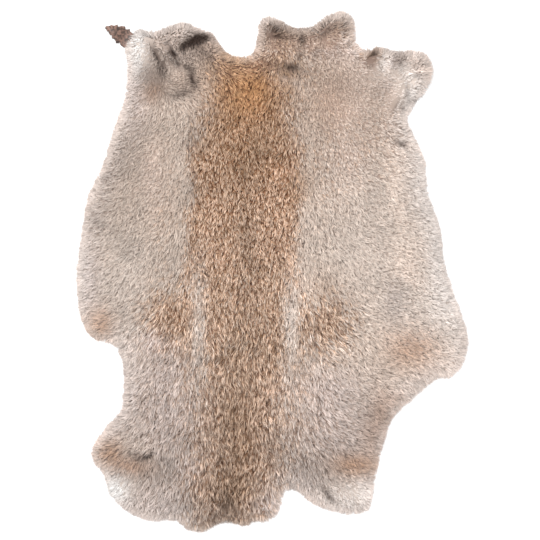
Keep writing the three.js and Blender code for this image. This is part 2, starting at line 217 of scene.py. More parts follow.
# Patches of the coat, by tint: bells around a place, half_width across and half_length along a bearing in
# degrees that is counted from +Y towards +X. A negative strength takes the tint away. Shade is painted
# light and shade: above 0 it is painted shade in the hollows, creases and folds, below 0 it is painted
# light on lobes, lips and ridges, and elsewhere it makes the fur darker or lighter.
Patch = namedtuple("Patch", "name at half_width half_length bearing strength")
PATCHES = {
    "ticked": (
        Patch("neck flap", (26, 182), 14, 44, 90, 0.7),
        Patch("nape, head end", (2, 163), 11, 18, 90, 0.6),
        Patch("right notch", (78, 166), 5, 9, 30, 0.9),
        Patch("right shoulder", (30, 149), 20, 13, 110, 0.3),
        Patch("back, middle and loin", (-22, -50), 60, 80, 0, -0.2),
        Patch("rump", (-30, -175), 40, 30, 0, 0.2),
        Patch("left haunch spot", (-80, -40), 23, 25, 0, 1.05),
        Patch("left pale streak", (-56, -44), 7, 46, 0, -0.6),
        Patch("left loin", (-84, -100), 22, 50, 0, 0.2),
        Patch("left ribs", (-84, 40), 14, 60, 0, 0.2),
        Patch("right haunch spot", (45, -42), 24, 24, 0, 0.95),
        Patch("right pale streak", (15, -40), 7, 36, 0, -0.55),
        Patch("right loin", (30, -110), 24, 50, 0, 0.35),
        Patch("right ribs", (42, 70), 16, 50, 0, 0.22),
        Patch("right side, head end", (78, 98), 34, 42, 0, 0.3),
        Patch("right pale streak, inner side", (25, -50), 6, 14, 0, 0.3),
    ),
    "ginger": (
        Patch("left neck side", (-38, 160), 16, 17, 30, 0.55),
        Patch("neck", (-13, 141), 20, 19, 0, 0.85),
        Patch("left neck point", (8, 181), 12, 9, 0, 0.35),
        Patch("right neck point", (52, 188), 12, 8, 0, 0.2),
        Patch("nape, right side", (14, 148), 9, 14, 0, 0.45),
        Patch("nape, left side", (-28, 162), 9, 8, 0, 0.25),
        Patch("right shoulder", (46, 134), 30, 18, 110, 0.22),
        Patch("right notch", (80, 167), 5, 7, 30, 0.5),
        Patch("loin, middle", (-32, -116), 12, 16, 0, 0.15),
        Patch("saddle, tail half", (-22, -95), 16, 70, 0, 0.14),
        Patch("saddle, neck end", (-26, 122), 16, 12, 0, 0.25),
        Patch("saddle, right edge", (23, 63), 9, 14, 0, 0.4),
        Patch("saddle, left edge, neck end", (-38, 135), 10, 12, 0, 0.3),
        Patch("rump", (-31, -177), 14, 18, 0, 0.3),
        Patch("loin", (-24, -141), 13, 22, 0, 0.16),
        Patch("saddle, head end", (-18, 98), 30, 36, 0, 0.3),
        Patch("left flank end", (-134, -42), 9, 10, 0, 0.2),
        Patch("right haunch spot, head end", (42, -12), 10, 12, 0, 0.2),
        Patch("right flank bump", (111, -62), 16, 13, 0, 0.16),
        Patch("right edge", (118, 28), 8, 26, 0, 0.12),
        Patch("right hind edge", (66, -152), 18, 9, 0, 0.18),
        Patch("left hind point", (-126, -142), 9, 9, 0, 0.2),
    ),
    "rust": (
        Patch("left shoulder", (-92, 136), 9, 8, 0, 0.6),
        Patch("left shoulder ring", (-60, 144), 13, 12, 0, 0.25),
        Patch("left foreleg lip", (-54, 175), 7, 12, 80, 0.5),
        Patch("left shoulder, head side", (-89, 143), 10, 9, 0, 0.3),
        Patch("neck flap", (20, 176), 16, 44, 90, 0.15),
        Patch("right foreleg", (112, 155), 10, 9, 0, 0.6),
        Patch("right foreleg top", (101, 165), 9, 6, 0, 0.4),
        Patch("right notch", (82, 166), 5, 6, 0, 0.6),
        Patch("left flank end", (-134, -41), 10, 12, 0, 0.85),
        Patch("right flank bump", (111, -60), 21, 17, 0, 0.72),
        Patch("right groin", (87, -110), 9, 17, 0, 0.6),
        Patch("right groin, tail side", (78, -131), 8, 18, 0, 0.45),
        Patch("right groin, head side", (99, -100), 8, 6, 0, 0.3),
        Patch("left hind point", (-127, -140), 10, 10, 0, 0.8),
        Patch("left hind stripe", (-110, -152), 7, 17, 98, 0.8),
        Patch("right hind edge", (67, -151), 18, 9, 0, 0.9),
        Patch("left hind end", (-120, -158), 8, 6, 0, 0.25),
    ),
    "cream": (
        Patch("left foreleg side", (-104, 171), 9, 19, 0, 1.0),
        Patch("nape, right side", (16, 144), 4, 12, 110, 0.25),
        Patch("right foreleg", (108, 147), 11, 18, 0, 0.65),
        Patch("right foreleg, inner side", (88, 160), 6, 12, 0, 0.5),
        Patch("left low side", (-115, -10), 24, 40, 0, 0.25),
        Patch("left edge", (-148, 0), 6, 26, 0, 0.15),
        Patch("left pale streak", (-56, -40), 6, 40, 0, 0.25),
        Patch("right side", (85, 30), 46, 70, 0, 0.2),
        Patch("right bump", (125, -36), 26, 28, 0, 0.28),
        Patch("right edge", (126, 30), 14, 90, 170, 0.3),
        Patch("right pale streak", (15, -38), 6, 32, 0, 0.28),
        Patch("left hind end", (-121, -170), 12, 11, 0, 1.0),
        Patch("right hind end", (63, -174), 18, 13, 0, 0.5),
    ),
    "smoke": (
        Patch("left elbow", (-104, 128), 12, 30, 0, 0.5),
        Patch("left foreleg roll", (-72, 168), 22, 13, 0, 0.4),
        Patch("neck flap, foot", (46, 168), 7, 17, 90, 0.6),
        Patch("right foreleg, inner side", (91, 144), 7, 10, 0, 0.4),
        Patch("right shoulder", (60, 138), 26, 34, 0, 0.35),
        Patch("right foreleg roll", (97, 162), 5, 7, 0, 0.9),
        Patch("rump notch", (-4, -183), 11, 9, 0, 0.7),
        Patch("left groin", (-82, -112), 26, 44, 0, 0.65),
        Patch("left edge", (-141, -6), 8, 26, 0, 0.5),
        Patch("left haunch spot, outer side", (-93, -56), 10, 9, 0, 0.7),
        Patch("left loin", (-82, -74), 16, 18, 0, 0.35),
        Patch("left ribs, outer side", (-92, 72), 10, 26, 0, 0.35),
        Patch("right ribs, head end", (60, 84), 14, 22, 0, 0.3),
        Patch("right loin", (44, -90), 30, 16, 0, 0.4),
        Patch("right side, low", (97, -24), 10, 18, 0, 0.5),
        Patch("hind end", (-25, -140), 110, 60, 0, 0.22),
        Patch("right thigh", (50, -122), 34, 36, 0, 0.65),
        Patch("left thigh", (-90, -175), 26, 16, 0, 0.4),
        Patch("left thigh, inner side", (-64, -156), 8, 12, 0, 0.4),
    ),
    "soft": (
        Patch("left foreleg", (-80, 162), 30, 24, 0, 1.2),
        Patch("left foreleg side", (-106, 172), 9, 16, 0, 0.8),
        Patch("neck flap", (26, 182), 16, 46, 90, 0.7),
        Patch("right shoulder", (48, 140), 36, 28, 0, 0.6),
        Patch("right foreleg", (104, 148), 22, 28, 0, 1.2),
        Patch("left side, head end", (-98, 85), 34, 60, 0, 0.75),
        Patch("left side", (-115, -5), 30, 45, 0, 0.4),
        Patch("right side, head end", (65, 105), 48, 65, 0, 0.65),
        Patch("right side", (98, 10), 42, 60, 0, 0.5),
        Patch("left hind end", (-118, -172), 18, 16, 0, 1.2),
        Patch("right hind end", (60, -174), 22, 16, 0, 1.2),
    ),
    "shade": (
        # Left foreleg and shoulder
        Patch("left foreleg roll", (-72, 162), 26, 18, 0, 0.15),
        Patch("left foreleg side", (-94, 148), 11, 16, 0, 0.26),
        # Painted light on the lobes and the lip, and painted shade in the hollow, the pit, the crease, the
        # pleat and around the shoulder ring.
        Patch("left foreleg outer lobe", (-85, 178), 4, 8, 150, -0.3),
        Patch("left foreleg inner lobe", (-72, 183), 4.5, 8, 160, -0.2),
        Patch("left foreleg lip", (-51, 185.5), 2.2, 9, 105, -0.6),
        Patch("left foreleg hollow", (-57.5, 178), 3.8, 8, 68, 2.0),
        Patch("left foreleg pit", (-67.8, 172), 2.2, 2.8, 30, 3.0),
        Patch("under the hollow", (-54, 169), 5, 9, 110, 0.35),
        Patch("left foreleg crease", (-90, 169), 1.8, 10, 155, 1.0),
        Patch("left foreleg pleat", (-75.7, 167), 2, 4, 142, 1.4),
        Patch("left foreleg streak", (-80.5, 174), 1.5, 7, 142, 0.6),
        Patch("left shoulder ring, inner side", (-61, 148), 2.8, 8, 170, 0.95),
        Patch("left shoulder ring, tail side", (-70, 136), 3, 9, 75, 0.5),
        Patch("left shoulder ring, outer side", (-84, 155), 4, 8, 10, 0.4),
        Patch("left shoulder ring, head side", (-70, 158.5), 2.2, 8, 110, 0.7),
        Patch("left shoulder ring, middle", (-73, 149), 6, 7, 0, -0.2),
        Patch("left neck side tufts", (-46, 159), 2.5, 6, 150, 0.35),
        Patch("left elbow", (-103, 136), 4, 5, 0, 0.15),
        Patch("left shoulder, tail side", (-72, 140), 9, 18, 90, 0.12),
        Patch("left shoulder, head side", (-94, 152), 9, 9, 0, 0.13),
        Patch("left foreleg top, outer side", (-101, 185), 4, 6, 90, 0.14),
        Patch("left elbow, inner side", (-101, 130), 7, 14, 0, -0.14),
        Patch("left foreleg roll, middle", (-66, 178), 4, 5, 0, 0.2),
        Patch("left shoulder, outer side", (-84, 140), 8, 8, 0, 0.12),
        Patch("left foreleg top", (-93, 177), 5, 6, 0, -0.2),
        # Neck flap and nape
        Patch("neck flap", (26, 187), 9, 40, 90, 0.1),
        Patch("left neck point", (4, 186), 7, 6, 0, 0.75),
        Patch("left neck point, foot", (7, 180), 2, 10, 90, 0.5),
        # Painted shade in the dip between the neck points.
        Patch("neck dip", (23.5, 178), 2.4, 5, 0, 0.8),
        Patch("right neck point, left side", (43, 185), 3, 7, 50, 0.55),
        Patch("right neck point, right side", (56, 188), 4, 7, 0, 0.3),
        Patch("nape, head end", (4, 163), 9, 18, 90, 0.1),
        Patch("neck tufts", (15, 157), 2.6, 7, 100, 0.8),
        Patch("neck tuft, head side", (22, 165), 2.2, 4, 20, 0.6),
        Patch("neck tuft, left side", (-4, 163), 2.8, 6, 110, 0.4),
        Patch("neck tuft, right side", (35, 168), 2.2, 4, 30, 0.5),
        Patch("left neck point, outer side", (-7, 182), 4, 7, 0, -0.2),
        Patch("right neck side", (62, 157), 8, 6, 0, -0.1),
        Patch("nape, right side", (14, 155), 8, 9, 0, 0.18),
        Patch("neck, right side", (62, 167), 9, 8, 0, -0.18),
        Patch("nape, left side", (-11, 164), 9, 8, 0, -0.22),
        Patch("neck flap, foot", (36, 172), 6, 14, 90, -0.16),
        Patch("neck flap, left foot", (10, 166), 5, 5, 0, -0.16),
        Patch("neck flap, right foot", (30, 163), 6, 5, 0, -0.1),
        Patch("right neck point, rim", (46, 190), 4, 5, 0, -0.14),
        Patch("right neck point, foot", (58, 181), 7, 6, 0, -0.16),
        # Right foreleg and shoulder
        # Painted shade in the right notch, the creases, fold and dent of the right foreleg, the armpit and
        # the elbow, and painted light on its ridge and edges.
        Patch("right notch", (77.5, 165), 2.8, 6.5, 25, 1.0),
        Patch("right foreleg roll", (97, 162), 4.5, 7, 0, 0.22),
        Patch("right foreleg top", (118, 159.5), 1.8, 5, 115, 0.4),
        Patch("right foreleg crease", (104.5, 140), 1.8, 7, 172, 0.7),
        Patch("right foreleg foot", (111, 131), 1.8, 5, 70, 0.7),
        Patch("right foreleg fold", (112, 150.5), 1.6, 7, 80, 0.5),
        Patch("right foreleg ridge", (90, 160), 3, 10, 10, -0.3),
        Patch("right foreleg edge", (112, 145), 8, 14, 0, -0.12),
        Patch("right armpit", (101, 126), 2, 5, 165, 0.6),
        Patch("right elbow", (100, 98), 2.2, 5, 115, 0.9),
        Patch("right shoulder", (28, 155), 9, 14, 100, 0.12),
        Patch("right shoulder, tail side", (53, 126), 16, 13, 0, -0.17),
        Patch("right elbow, inner side", (98, 93), 7, 14, 90, -0.14),
        Patch("right foreleg, outer edge", (119, 155), 6, 7, 0, -0.22),
        Patch("right armpit, inner side", (97, 137), 9, 11, 0, -0.18),
        Patch("right foreleg top, middle", (100, 163), 5, 9, 0, 0.28),
        Patch("right foreleg, inner side", (83, 157), 5, 6, 0, 0.12),
        Patch("right foreleg, middle", (107, 151), 5, 5, 0, -0.22),
        Patch("right armpit, head side", (98, 139), 5, 7, 0, -0.18),
        Patch("right foreleg foot, inner side", (103, 132), 3, 5, 0, 0.25),
        Patch("right foreleg, tuft side", (112, 162), 4, 4, 0, -0.12),
        # Back, down to the rump
        Patch("loin", (-33, -114), 15, 30, 0, 0.3),
        Patch("saddle, tail half", (-20, -70), 18, 34, 0, 0.14),
        Patch("spine, middle", (-19, 31), 7, 9, 0, 0.15),
        Patch("saddle, left side, middle", (-38, 10), 7, 8, 0, -0.14),
        Patch("saddle, left edge", (-65, -3), 6, 9, 0, -0.15),
        Patch("saddle, head end, middle", (-19, 83), 8, 7, 0, 0.13),
        Patch("rump, middle", (-33, -178), 11, 13, 0, 0.17),
        Patch("saddle, right side, middle", (-1, 15), 6, 9, 0, -0.11),
        Patch("saddle, left side, head end", (-38, 46), 8, 7, 0, -0.11),
        Patch("rump notch", (0, -183), 8, 8, 0, -0.14),
        Patch("saddle, neck end", (-12, 124), 9, 12, 0, -0.16),
        Patch("saddle, middle, head end", (-15, 56), 7, 12, 90, -0.14),
        Patch("saddle, right edge, head end", (26, 66), 7, 10, 0, 0.14),
        Patch("back, middle", (-26, -56), 9, 9, 0, 0.18),
        Patch("saddle, left side", (-50, 26), 9, 32, 0, -0.1),
        Patch("saddle, right side", (4, 50), 11, 30, 0, -0.15),
        Patch("saddle, head end, right side", (-11, 92), 8, 12, 0, 0.15),
        Patch("loin, right side", (0, -84), 8, 14, 0, -0.14),
        Patch("saddle, right edge", (6, 76), 7, 17, 90, -0.24),
        Patch("saddle, right edge, middle", (15, 15), 8, 26, 0, -0.18),
        Patch("saddle, head end", (-18, 95), 34, 40, 0, 0.06),
        Patch("spine", (-20, 12), 7, 36, 0, 0.2),
        Patch("saddle, middle", (-20, 12), 32, 40, 0, -0.08),
        Patch("rump", (-34, -170), 36, 36, 0, 0.33),
        Patch("rump stripe", (-34, -174), 5, 12, 0, 0.12),
        Patch("rump end", (-36, -195), 9, 28, 90, 0.28),
        # Left side
        Patch("left ribs, head end", (-61, 100), 12, 11, 0, 0.26),
        Patch("left ribs", (-61, 64), 9, 12, 0, 0.2),
        Patch("left ribs, tail end", (-84, 12), 9, 22, 90, 0.12),
        Patch("left ribs, middle", (-88, 46), 6, 10, 90, -0.14),
        Patch("left haunch spot", (-80, -44), 10, 10, 0, 0.15),
        Patch("left pale streak, inner side", (-47, -54), 6, 8, 0, -0.14),
        Patch("left ribs, head side", (-93, 90), 6, 11, 0, -0.13),
        Patch("left groin, tail side", (-112, -119), 6, 8, 0, 0.13),
        Patch("left pale streak, head end", (-65, -26), 6, 8, 0, -0.13),
        Patch("left ribs, outer side", (-91, 72), 6, 36, 0, -0.13),
        Patch("left side, middle", (-130, 10), 5, 12, 90, -0.14),
        Patch("left side, tail end", (-102, -17), 8, 9, 0, -0.14),
        Patch("left side wave, middle", (-111, 16), 8, 9, 90, 0.2),
        Patch("left side, head edge", (-122, 80), 8, 36, 20, 0.16),
        Patch("left side, tail edge", (-132, 42), 7, 14, 10, 0.08),
        Patch("left flank end, inner side", (-120, -53), 8, 5, 0, -0.15),
        Patch("left haunch spot, outer side", (-93, -57), 9, 8, 0, -0.16),
        Patch("left ribs, tail side", (-75, 4), 6, 18, 0, 0.14),
        Patch("left pale streak, tail end", (-56, -73), 7, 8, 0, 0.13),
        Patch("left side", (-124, 40), 16, 70, 12, 0.06),
        Patch("left groin edge", (-120, -88), 9, 40, 0, 0.14),
        Patch("left side, head end", (-112, 84), 9, 24, 20, 0.08),
        # Painted shade in the dent and the waves of the left side.
        Patch("left side dent", (-130, 71), 2.4, 6, 65, 0.26),
        Patch("left side wave", (-138, 41), 2.5, 6, 150, 0.2),
        Patch("left side low wave", (-126, 32), 2.6, 13, 123, 0.16),
        Patch("left flank end", (-134, -44), 10, 10, 0, 0.08),
        # Right side
        Patch("right ribs", (58, 14), 7, 24, 35, 0.1),
        Patch("right groin, inner side", (78, -107), 8, 16, 80, 0.18),
        Patch("right flank bump, outer side", (140, -72), 9, 7, 0, -0.15),
        Patch("right haunch spot, outer side", (63, -45), 6, 9, 90, 0.14),
        Patch("right side, middle", (82, 61), 8, 9, 0, 0.14),
        Patch("right ribs, inner side", (35, 74), 7, 7, 0, 0.13),
        Patch("right flank bump", (130, -66), 15, 18, 0, -0.1),
        Patch("right haunch spot, tail end", (47, -79), 8, 16, 90, -0.15),
        Patch("right pale streak, tail end", (16, -73), 6, 7, 0, 0.13),
        Patch("right pale streak, middle", (17, -45), 5, 7, 0, -0.11),
        Patch("right ribs, head end", (57, 84), 16, 28, 0, -0.18),
        Patch("right bump", (128, -24), 16, 24, 160, -0.1),
        Patch("right loin", (24, -93), 8, 15, 80, -0.14),
        Patch("right loin, middle", (4, -128), 8, 13, 90, 0.14),
        Patch("right side ridge", (98, 44), 9, 56, 175, -0.16),
        Patch("right side ridge, tail end", (106, -2), 10, 11, 0, -0.18),
        Patch("right pale streak, inner side", (25, -24), 6, 18, 0, -0.17),
        Patch("right haunch spot, head end", (44, -8), 8, 8, 0, 0.14),
        Patch("right groin, tail side", (78, -126), 8, 18, 0, 0.16),
        Patch("right edge, middle", (128, 19), 6, 9, 0, 0.15),
        Patch("right side wave", (96, -26), 7, 13, 20, 0.1),
        Patch("right side wave, head end", (102, -11), 2.8, 9, 123, 0.18),
        Patch("right groin", (88, -112), 6, 12, 20, 0.15),
        # Hind legs
        Patch("right thigh", (33, -154), 11, 24, 90, 0.32),
        Patch("left thigh", (-88, -154), 9, 16, 90, 0.2),
        Patch("hind end", (0, -135), 14, 58, 90, 0.12),
        Patch("left thigh, head side", (-75, -147), 8, 7, 0, 0.13),
        Patch("left hind leg, outer side", (-121, -156), 8, 5, 0, 0.13),
        Patch("left hind leg, middle", (-96, -160), 8, 18, 90, 0.1),
        Patch("left thigh, inner side", (-56, -158), 10, 13, 0, -0.18),
        Patch("left thigh, tail side", (-70, -179), 8, 16, 90, 0.16),
        Patch("left thigh, tail end", (-52, -174), 8, 7, 0, -0.15),
        Patch("right hind leg, outer side", (73, -170), 6, 10, 0, -0.17),
        Patch("left hind point", (-125, -139), 8, 9, 0, 0.16),
        Patch("left hind stripe", (-112, -150), 9, 20, 98, 0.14),
        # Painted shade in the left thigh crease.
        Patch("left thigh crease", (-97, -143.5), 1.8, 7, 75, 1.0),
        Patch("left thigh crease, inner end", (-85, -145), 1.6, 6, 95, 0.5),
        Patch("left thigh crease, outer end", (-106, -141.5), 1.6, 5, 100, 0.5),
        Patch("right hind edge", (70, -150), 14, 9, 0, 0.16),
        # Painted shade in the right thigh crease.
        Patch("right thigh crease", (44, -173), 2, 8, 140, 0.8),
    ),
}

# Swirls: places where the hair turns by so many degrees from the way it lies around them.
Swirl = namedtuple("Swirl", "name at radius turn")
SWIRLS = (
    Swirl("left shoulder", (-70, 147), 17, 120),
    Swirl("left foreleg outer lobe", (-86, 177), 9, 75),
    Swirl("left foreleg inner lobe", (-71, 181), 7, 20),
    Swirl("left neck point", (2, 191), 12, 170),
    Swirl("right neck point", (56, 193), 12, 150),
    Swirl("right foreleg", (106, 146), 18, 50),
    Swirl("left flank end", (-130, -40), 20, -25),
    Swirl("right haunch", (60, -120), 30, 20),
)

# Line down the back from which the hair fans out (x at y = 0, and x for each y), the shares of the
# fan's width from which it turns and at which it is full, and its turn to both sides.
BACK_LINE = (-20.0, 0.06)
FAN_WIDTH = 125.0
FAN_FROM = (0.12, 1.0)
FAN_LEFT = math.radians(52)
FAN_RIGHT = math.radians(64)
LIE_DRIFT = (Uneven(34, 0.16, 5), Uneven(12, 0.09, 6))

# How far inside the rim the hair starts to turn outwards, and how far in a rim that faces against the
# lie of the hair is felt.
TURN_REACH = 13.0
AGAINST_REACH = 12.0
AGAINST_FULL = 0.5

# Ribs of the pelt: their number, how far the rim is relaxed to give the hub and the ribs' first
# direction, the hub's size as a share of that, and how far in a rib bends. The rim's curve has so many
# steps from one of its points to the next.
RIB_COUNT = 420
HUB_PASSES = 1600
HUB_SIZE = 0.72
SQUARE_PASSES = 24
RIB_BEND = 10.0
SPLINE_STEPS = 40

# Scatter: spare places, the distance of rows as a share of the pitch, and how far a point moves in it.
SPARE_PLACES = 1.05
ROW_PITCH = 0.866
SCATTER = 0.34

# Steps of a sheet on the ribs, closer together at the rim, and its steps from the hub to the middle.
SHEET_STEPS = 19
SHEET_CROWDING = 1.3
HUB_STEPS = 9
RIBS_A_FACE = 2

# Wool: how much higher it stands in soft fur, over which depths that begins, and its least thickness.
WOOL_SWELL = 0.2
WOOL_SWELL_DEPTH = (4, 14)
WOOL_LEAST = 0.3
WOOL_ALONG = 0.3
WOOL_TONE = 0.4
UNDERFUR_LIGHT = 0.5

# All hairs: height of a root over the skin's underside, and width as a share of the usual one. Below, a
# stray is the spread of a turn in radians, and a middle and a bend are where a hair bends, as shares of its
# run and its height.
ROOT_LIFT = 0.6
WIDTHS = (0.7, 1.3)

# Underfur. It doesn't turn out at the rim, so its lie is taken as if it stood so much deeper.
UNDERFUR_DEEPER = 30
UNDERFUR_STRAY = 0.6
UNDERFUR_RUN = (3, 6)
UNDERFUR_MIDDLE = 0.45
UNDERFUR_BEND = 0.82
UNDERFUR_TOP = (0.78, 0.94)
UNDERFUR_LEAST = 0.5
UNDERFUR_TONE = (0.2, 0.7)

# Tufts of guard hair: stray, run as a share of the usual one, and height as a share of the fur's, by its
# mean and spread and by its limits.
TUFT_STRAY = 0.28
TUFT_RUN = (0.8, 1.25)
TUFT_HEIGHT = (0.96, 0.06)
TUFT_HEIGHT_LIMITS = (0.8, 1.06)

# A tuft is shorter by these shares at a rim against the lie and where the fur is soft, unless it is cream.
# A ticked tuft is longer by a share, which falls between two places towards the head end.
SHORT_AT_RIM = 0.6
SHORT_WHERE_SOFT = 0.55
CREAM_STAYS_LONG = 0.8
TICKED_LONGER = 0.15
TICKED_FALL = 0.35
TICKED_FALL_AT = (-80, 20)

# Spread of a tuft's tone: everywhere, less where the fur is soft, more where it is ticked, and more
# towards the tail end, where ticked hair is bolder too.
TONE_SPREAD = 0.12
TONE_SOFT_LESS = 0.06
TONE_TICKED_MORE = 0.05
TONE_TICKED_TAIL_MORE = 0.05
TONE_TAIL_MORE = 0.09
TICKED_TAIL_AT = (20, -60)
TAIL_AT = (20, -90)
BOLD = 0.4

# Guard hairs in a tuft: stray, spread of the reach, share of the roots' offset that the tips keep, how far
# they may pass the rim, middle and its spread, bend, height as a share of the tuft's, spread of the tone.
GUARD_STRAY = 0.06
GUARD_REACH_SPREAD = 0.6
GUARD_TIP_SHARE = 0.8
GUARD_PAST_RIM = 1.5
GUARD_MIDDLE = 0.42
GUARD_MIDDLE_SPREAD = 0.03
GUARD_BEND = 0.74
GUARD_HEIGHT = (0.9, 1.04)
GUARD_TONE_SPREAD = 0.22

# Locks of rim hair: hairs in each, places on the rib, share of the depth and pull with which they turn
# out, stray, and mean and spread of how far past the rim they aim and of their tone.
LOCK_HAIRS = 12
LOCK_STEPS = (0.0, 0.12)
LOCK_DEPTH_SHARE = 0.3
LOCK_PULL = 0.92
LOCK_STRAY = 0.28
LOCK_GOAL = (0.2, 0.8)
LOCK_TONE = (0.55, 0.2)

# Rim hairs in a lock: spread of the roots, stray, least cosine to straight out, spread and limits of the
# reach, share of the roots' offset that the tips keep, how far they may pass the rim, middle, bend, height
# as a share of the fur's, lift of roots and tips, spread of the tone, and painted shade at a rim against
# the lie, where the hair lies flat and would catch more light.
RIM_ROOT_SPREAD = 1.3
RIM_STRAY = 0.16
RIM_LEAST_FACING = 0.45
RIM_REACH_SPREAD = 0.7
RIM_REACH = (4, 20)
RIM_TIP_SHARE = 0.45
RIM_PAST = 2.2
RIM_MIDDLE = 0.45
RIM_BEND = 0.8
RIM_HEIGHT = (0.1, 0.85)
RIM_ROOT_LIFT = 0.5
RIM_TIP_LIFT = 0.4
RIM_TONE_SPREAD = 0.12
RIM_PAINTED_SHADE = 0.26

# Stage, in metres and watts: the floor's gap under the pelt and its reach, the room's light, the lamps, and
# the camera, whose frame is so wide at the top of the fur.
FLOOR_GAP = 0.0004
FLOOR_REACH = 4.0
ROOM_LIGHT = 0.6
Lamp = namedtuple("Lamp", "name at size power")
LAMPS = (Lamp("key", (-0.7, 0.8, 2.0), 1.0, 38.0), Lamp("overhead", (0.1, -0.1, 2.3), 1.2, 30.0))
CAMERA_AT = (-0.0012, 0.0008, 2.6)
CAMERA_REACH = 20.0
SENSOR_WIDTH = 36.0
FUR_TOP = 0.012
FRAME_WIDTH = 0.4158

GUARD_PIECES = ("left_flank_fur", "back_fur", "right_flank_fur")

Ribs = namedtuple("Ribs", "rim bend hub middle outwards")
Place = namedtuple("Place", "points inset outwards")
Tufts = namedtuple("Tufts", "place ticked_tail angle run tone height dice")


def linear(hex_colour):
    """Linear red, green and blue of an sRGB hex colour such as "#c8b8a8"."""
    parts = np.array([int(hex_colour[i:i + 2], 16) for i in (1, 3, 5)]) / 255
    return tuple(np.where(parts <= 0.04045, parts / 12.92, ((parts + 0.055) / 1.055) ** 2.4).tolist())


def hair_colour(name, description, hex_colour):
    """A colour that the user can change, given as sRGB hex."""
    return FloatVectorProperty(name=name, description=description, default=linear(hex_colour),
                               subtype="COLOR", size=3, min=0, max=1)


class PeltSizes(bpy.types.PropertyGroup):
    """Sizes of the skin and of the hairs"""
    skin_thickness: FloatProperty(
        name="Skin thickness", description="Thickness of the tanned skin",
        default=0.0012, min=0.0005, max=0.003, unit="LENGTH")
    skin_inset: FloatProperty(
        name="Skin inset", description="How far the skin ends inside the rim of the fur",
        default=0.006, min=0.002, max=0.015, unit="LENGTH")
    tufts: IntProperty(
        name="Tufts", description="Number of tufts of guard hair on the whole pelt",
        default=32400, min=300, max=40000)
    tuft_hairs: IntProperty(
        name="Hairs in a tuft", description="Number of guard hairs in each tuft",
        default=3, min=1, max=30)
    tuft_radius: FloatProperty(
        name="Tuft radius", description="Radius of a tuft where it leaves the skin",
        default=0.0008, min=0.0002, max=0.006, unit="LENGTH")
    hair_run: FloatProperty(
        name="Hair run", description="How far a guard hair leans from its root to its tip",
        default=0.008, min=0.004, max=0.03, unit="LENGTH")
    hair_width: FloatProperty(
        name="Hair width", description="Width of a drawn guard hair, which stands for several real ones",
        default=0.0009, min=0.0002, max=0.003, unit="LENGTH")
    underfur_hairs: IntProperty(
        name="Underfur hairs", description="Number of short hairs under the guard hair",
        default=28000, min=1000, max=32000)
    underfur_width: FloatProperty(
        name="Underfur width", description="Width of a drawn lock of underfur",
        default=0.0026, min=0.0003, max=0.004, unit="LENGTH")
    wool_share: FloatProperty(
        name="Wool height", description="Height of the felted wool as a share of the fur's",
        default=0.58, min=0.3, max=0.9)
    rim_hairs: IntProperty(
        name="Rim hairs", description="Number of hairs that stand out around the rim",
        default=29000, min=1000, max=32000)
    seed: IntProperty(
        name="Seed", description="Start of the repeatable scatter", default=11, min=0)


class PeltColours(bpy.types.PropertyGroup):
    """Colours of the skin and of the hairs"""
    flank_root: hair_colour("Flank hair root", "Slate underwool of the flanks", "#8c7b71")
    flank_middle: hair_colour("Flank hair middle", "Greige length of a flank hair", "#c0b0a4")
    flank_tip: hair_colour("Flank hair tip", "Pale end of a flank hair", "#e0d1c5")
    back_root: hair_colour("Back hair root", "Dark brown base of a ticked hair", "#694126")
    back_band: hair_colour("Back hair band", "Tan band of a ticked hair", "#ae8c70")
    back_tip: hair_colour("Back hair tip", "Cream end of a pale ticked hair", "#d9bfaa")
    back_dark_tip: hair_colour("Back hair dark tip", "Brown end of a dark ticked hair", "#7b5637")
    rust_tip: hair_colour("Rust", "Rust hair at the flank ends and hind legs", "#c8a288")
    ginger_tip: hair_colour("Ginger", "Orange-tan hair on the nape", "#d0a070")
    smoke_tip: hair_colour("Smoke", "Grey-mauve hair of the thighs and elbows", "#d8cac5")
    cream_tip: hair_colour("Cream", "White to cream hair at the leg ends", "#dcd8d5")
    # The colour of painted shade: the brown that the fur is mixed towards where shade is painted into it,
    # in hollows, creases and folds.
    shadowed: hair_colour("Deep fur", "Brown of the fur deep in a fold", "#35261f")
    suede: hair_colour("Suede", "Flesh side of the tanned skin", "#d9cbb8")
    leg_skin: hair_colour("Leg skin", "Bare dried skin of the foreleg", "#6c5348")


def smooth_step(low, high, value):
    """0 below low, 1 above high, and a cubic S between them."""
    share = np.clip((value - low) / (high - low), 0, 1)
    return share * share * (3 - 2 * share)


def unit(vectors):
    """The same directions at length 1."""
    return vectors / np.maximum(np.linalg.norm(vectors, axis=-1, keepdims=True), 1e-9)


def mottle(points, parts):
    """Smooth unevenness: for each part its size times the sum of six sine waves of about its length, at
    seeded bearings and phases, brought to about -1 to 1."""
    total = 0
    for part in parts:
        rng = np.random.default_rng(part.seed)
        bearing, phase = rng.uniform(0, 2 * np.pi, (2, 6))
        length = part.wave * rng.uniform(0.7, 1.5, 6)
        travel = points @ np.stack([np.cos(bearing), np.sin(bearing)]) / length * 2 * np.pi
        total = total + part.size * np.sin(travel + phase).sum(axis=-1) / 2.4
    return total


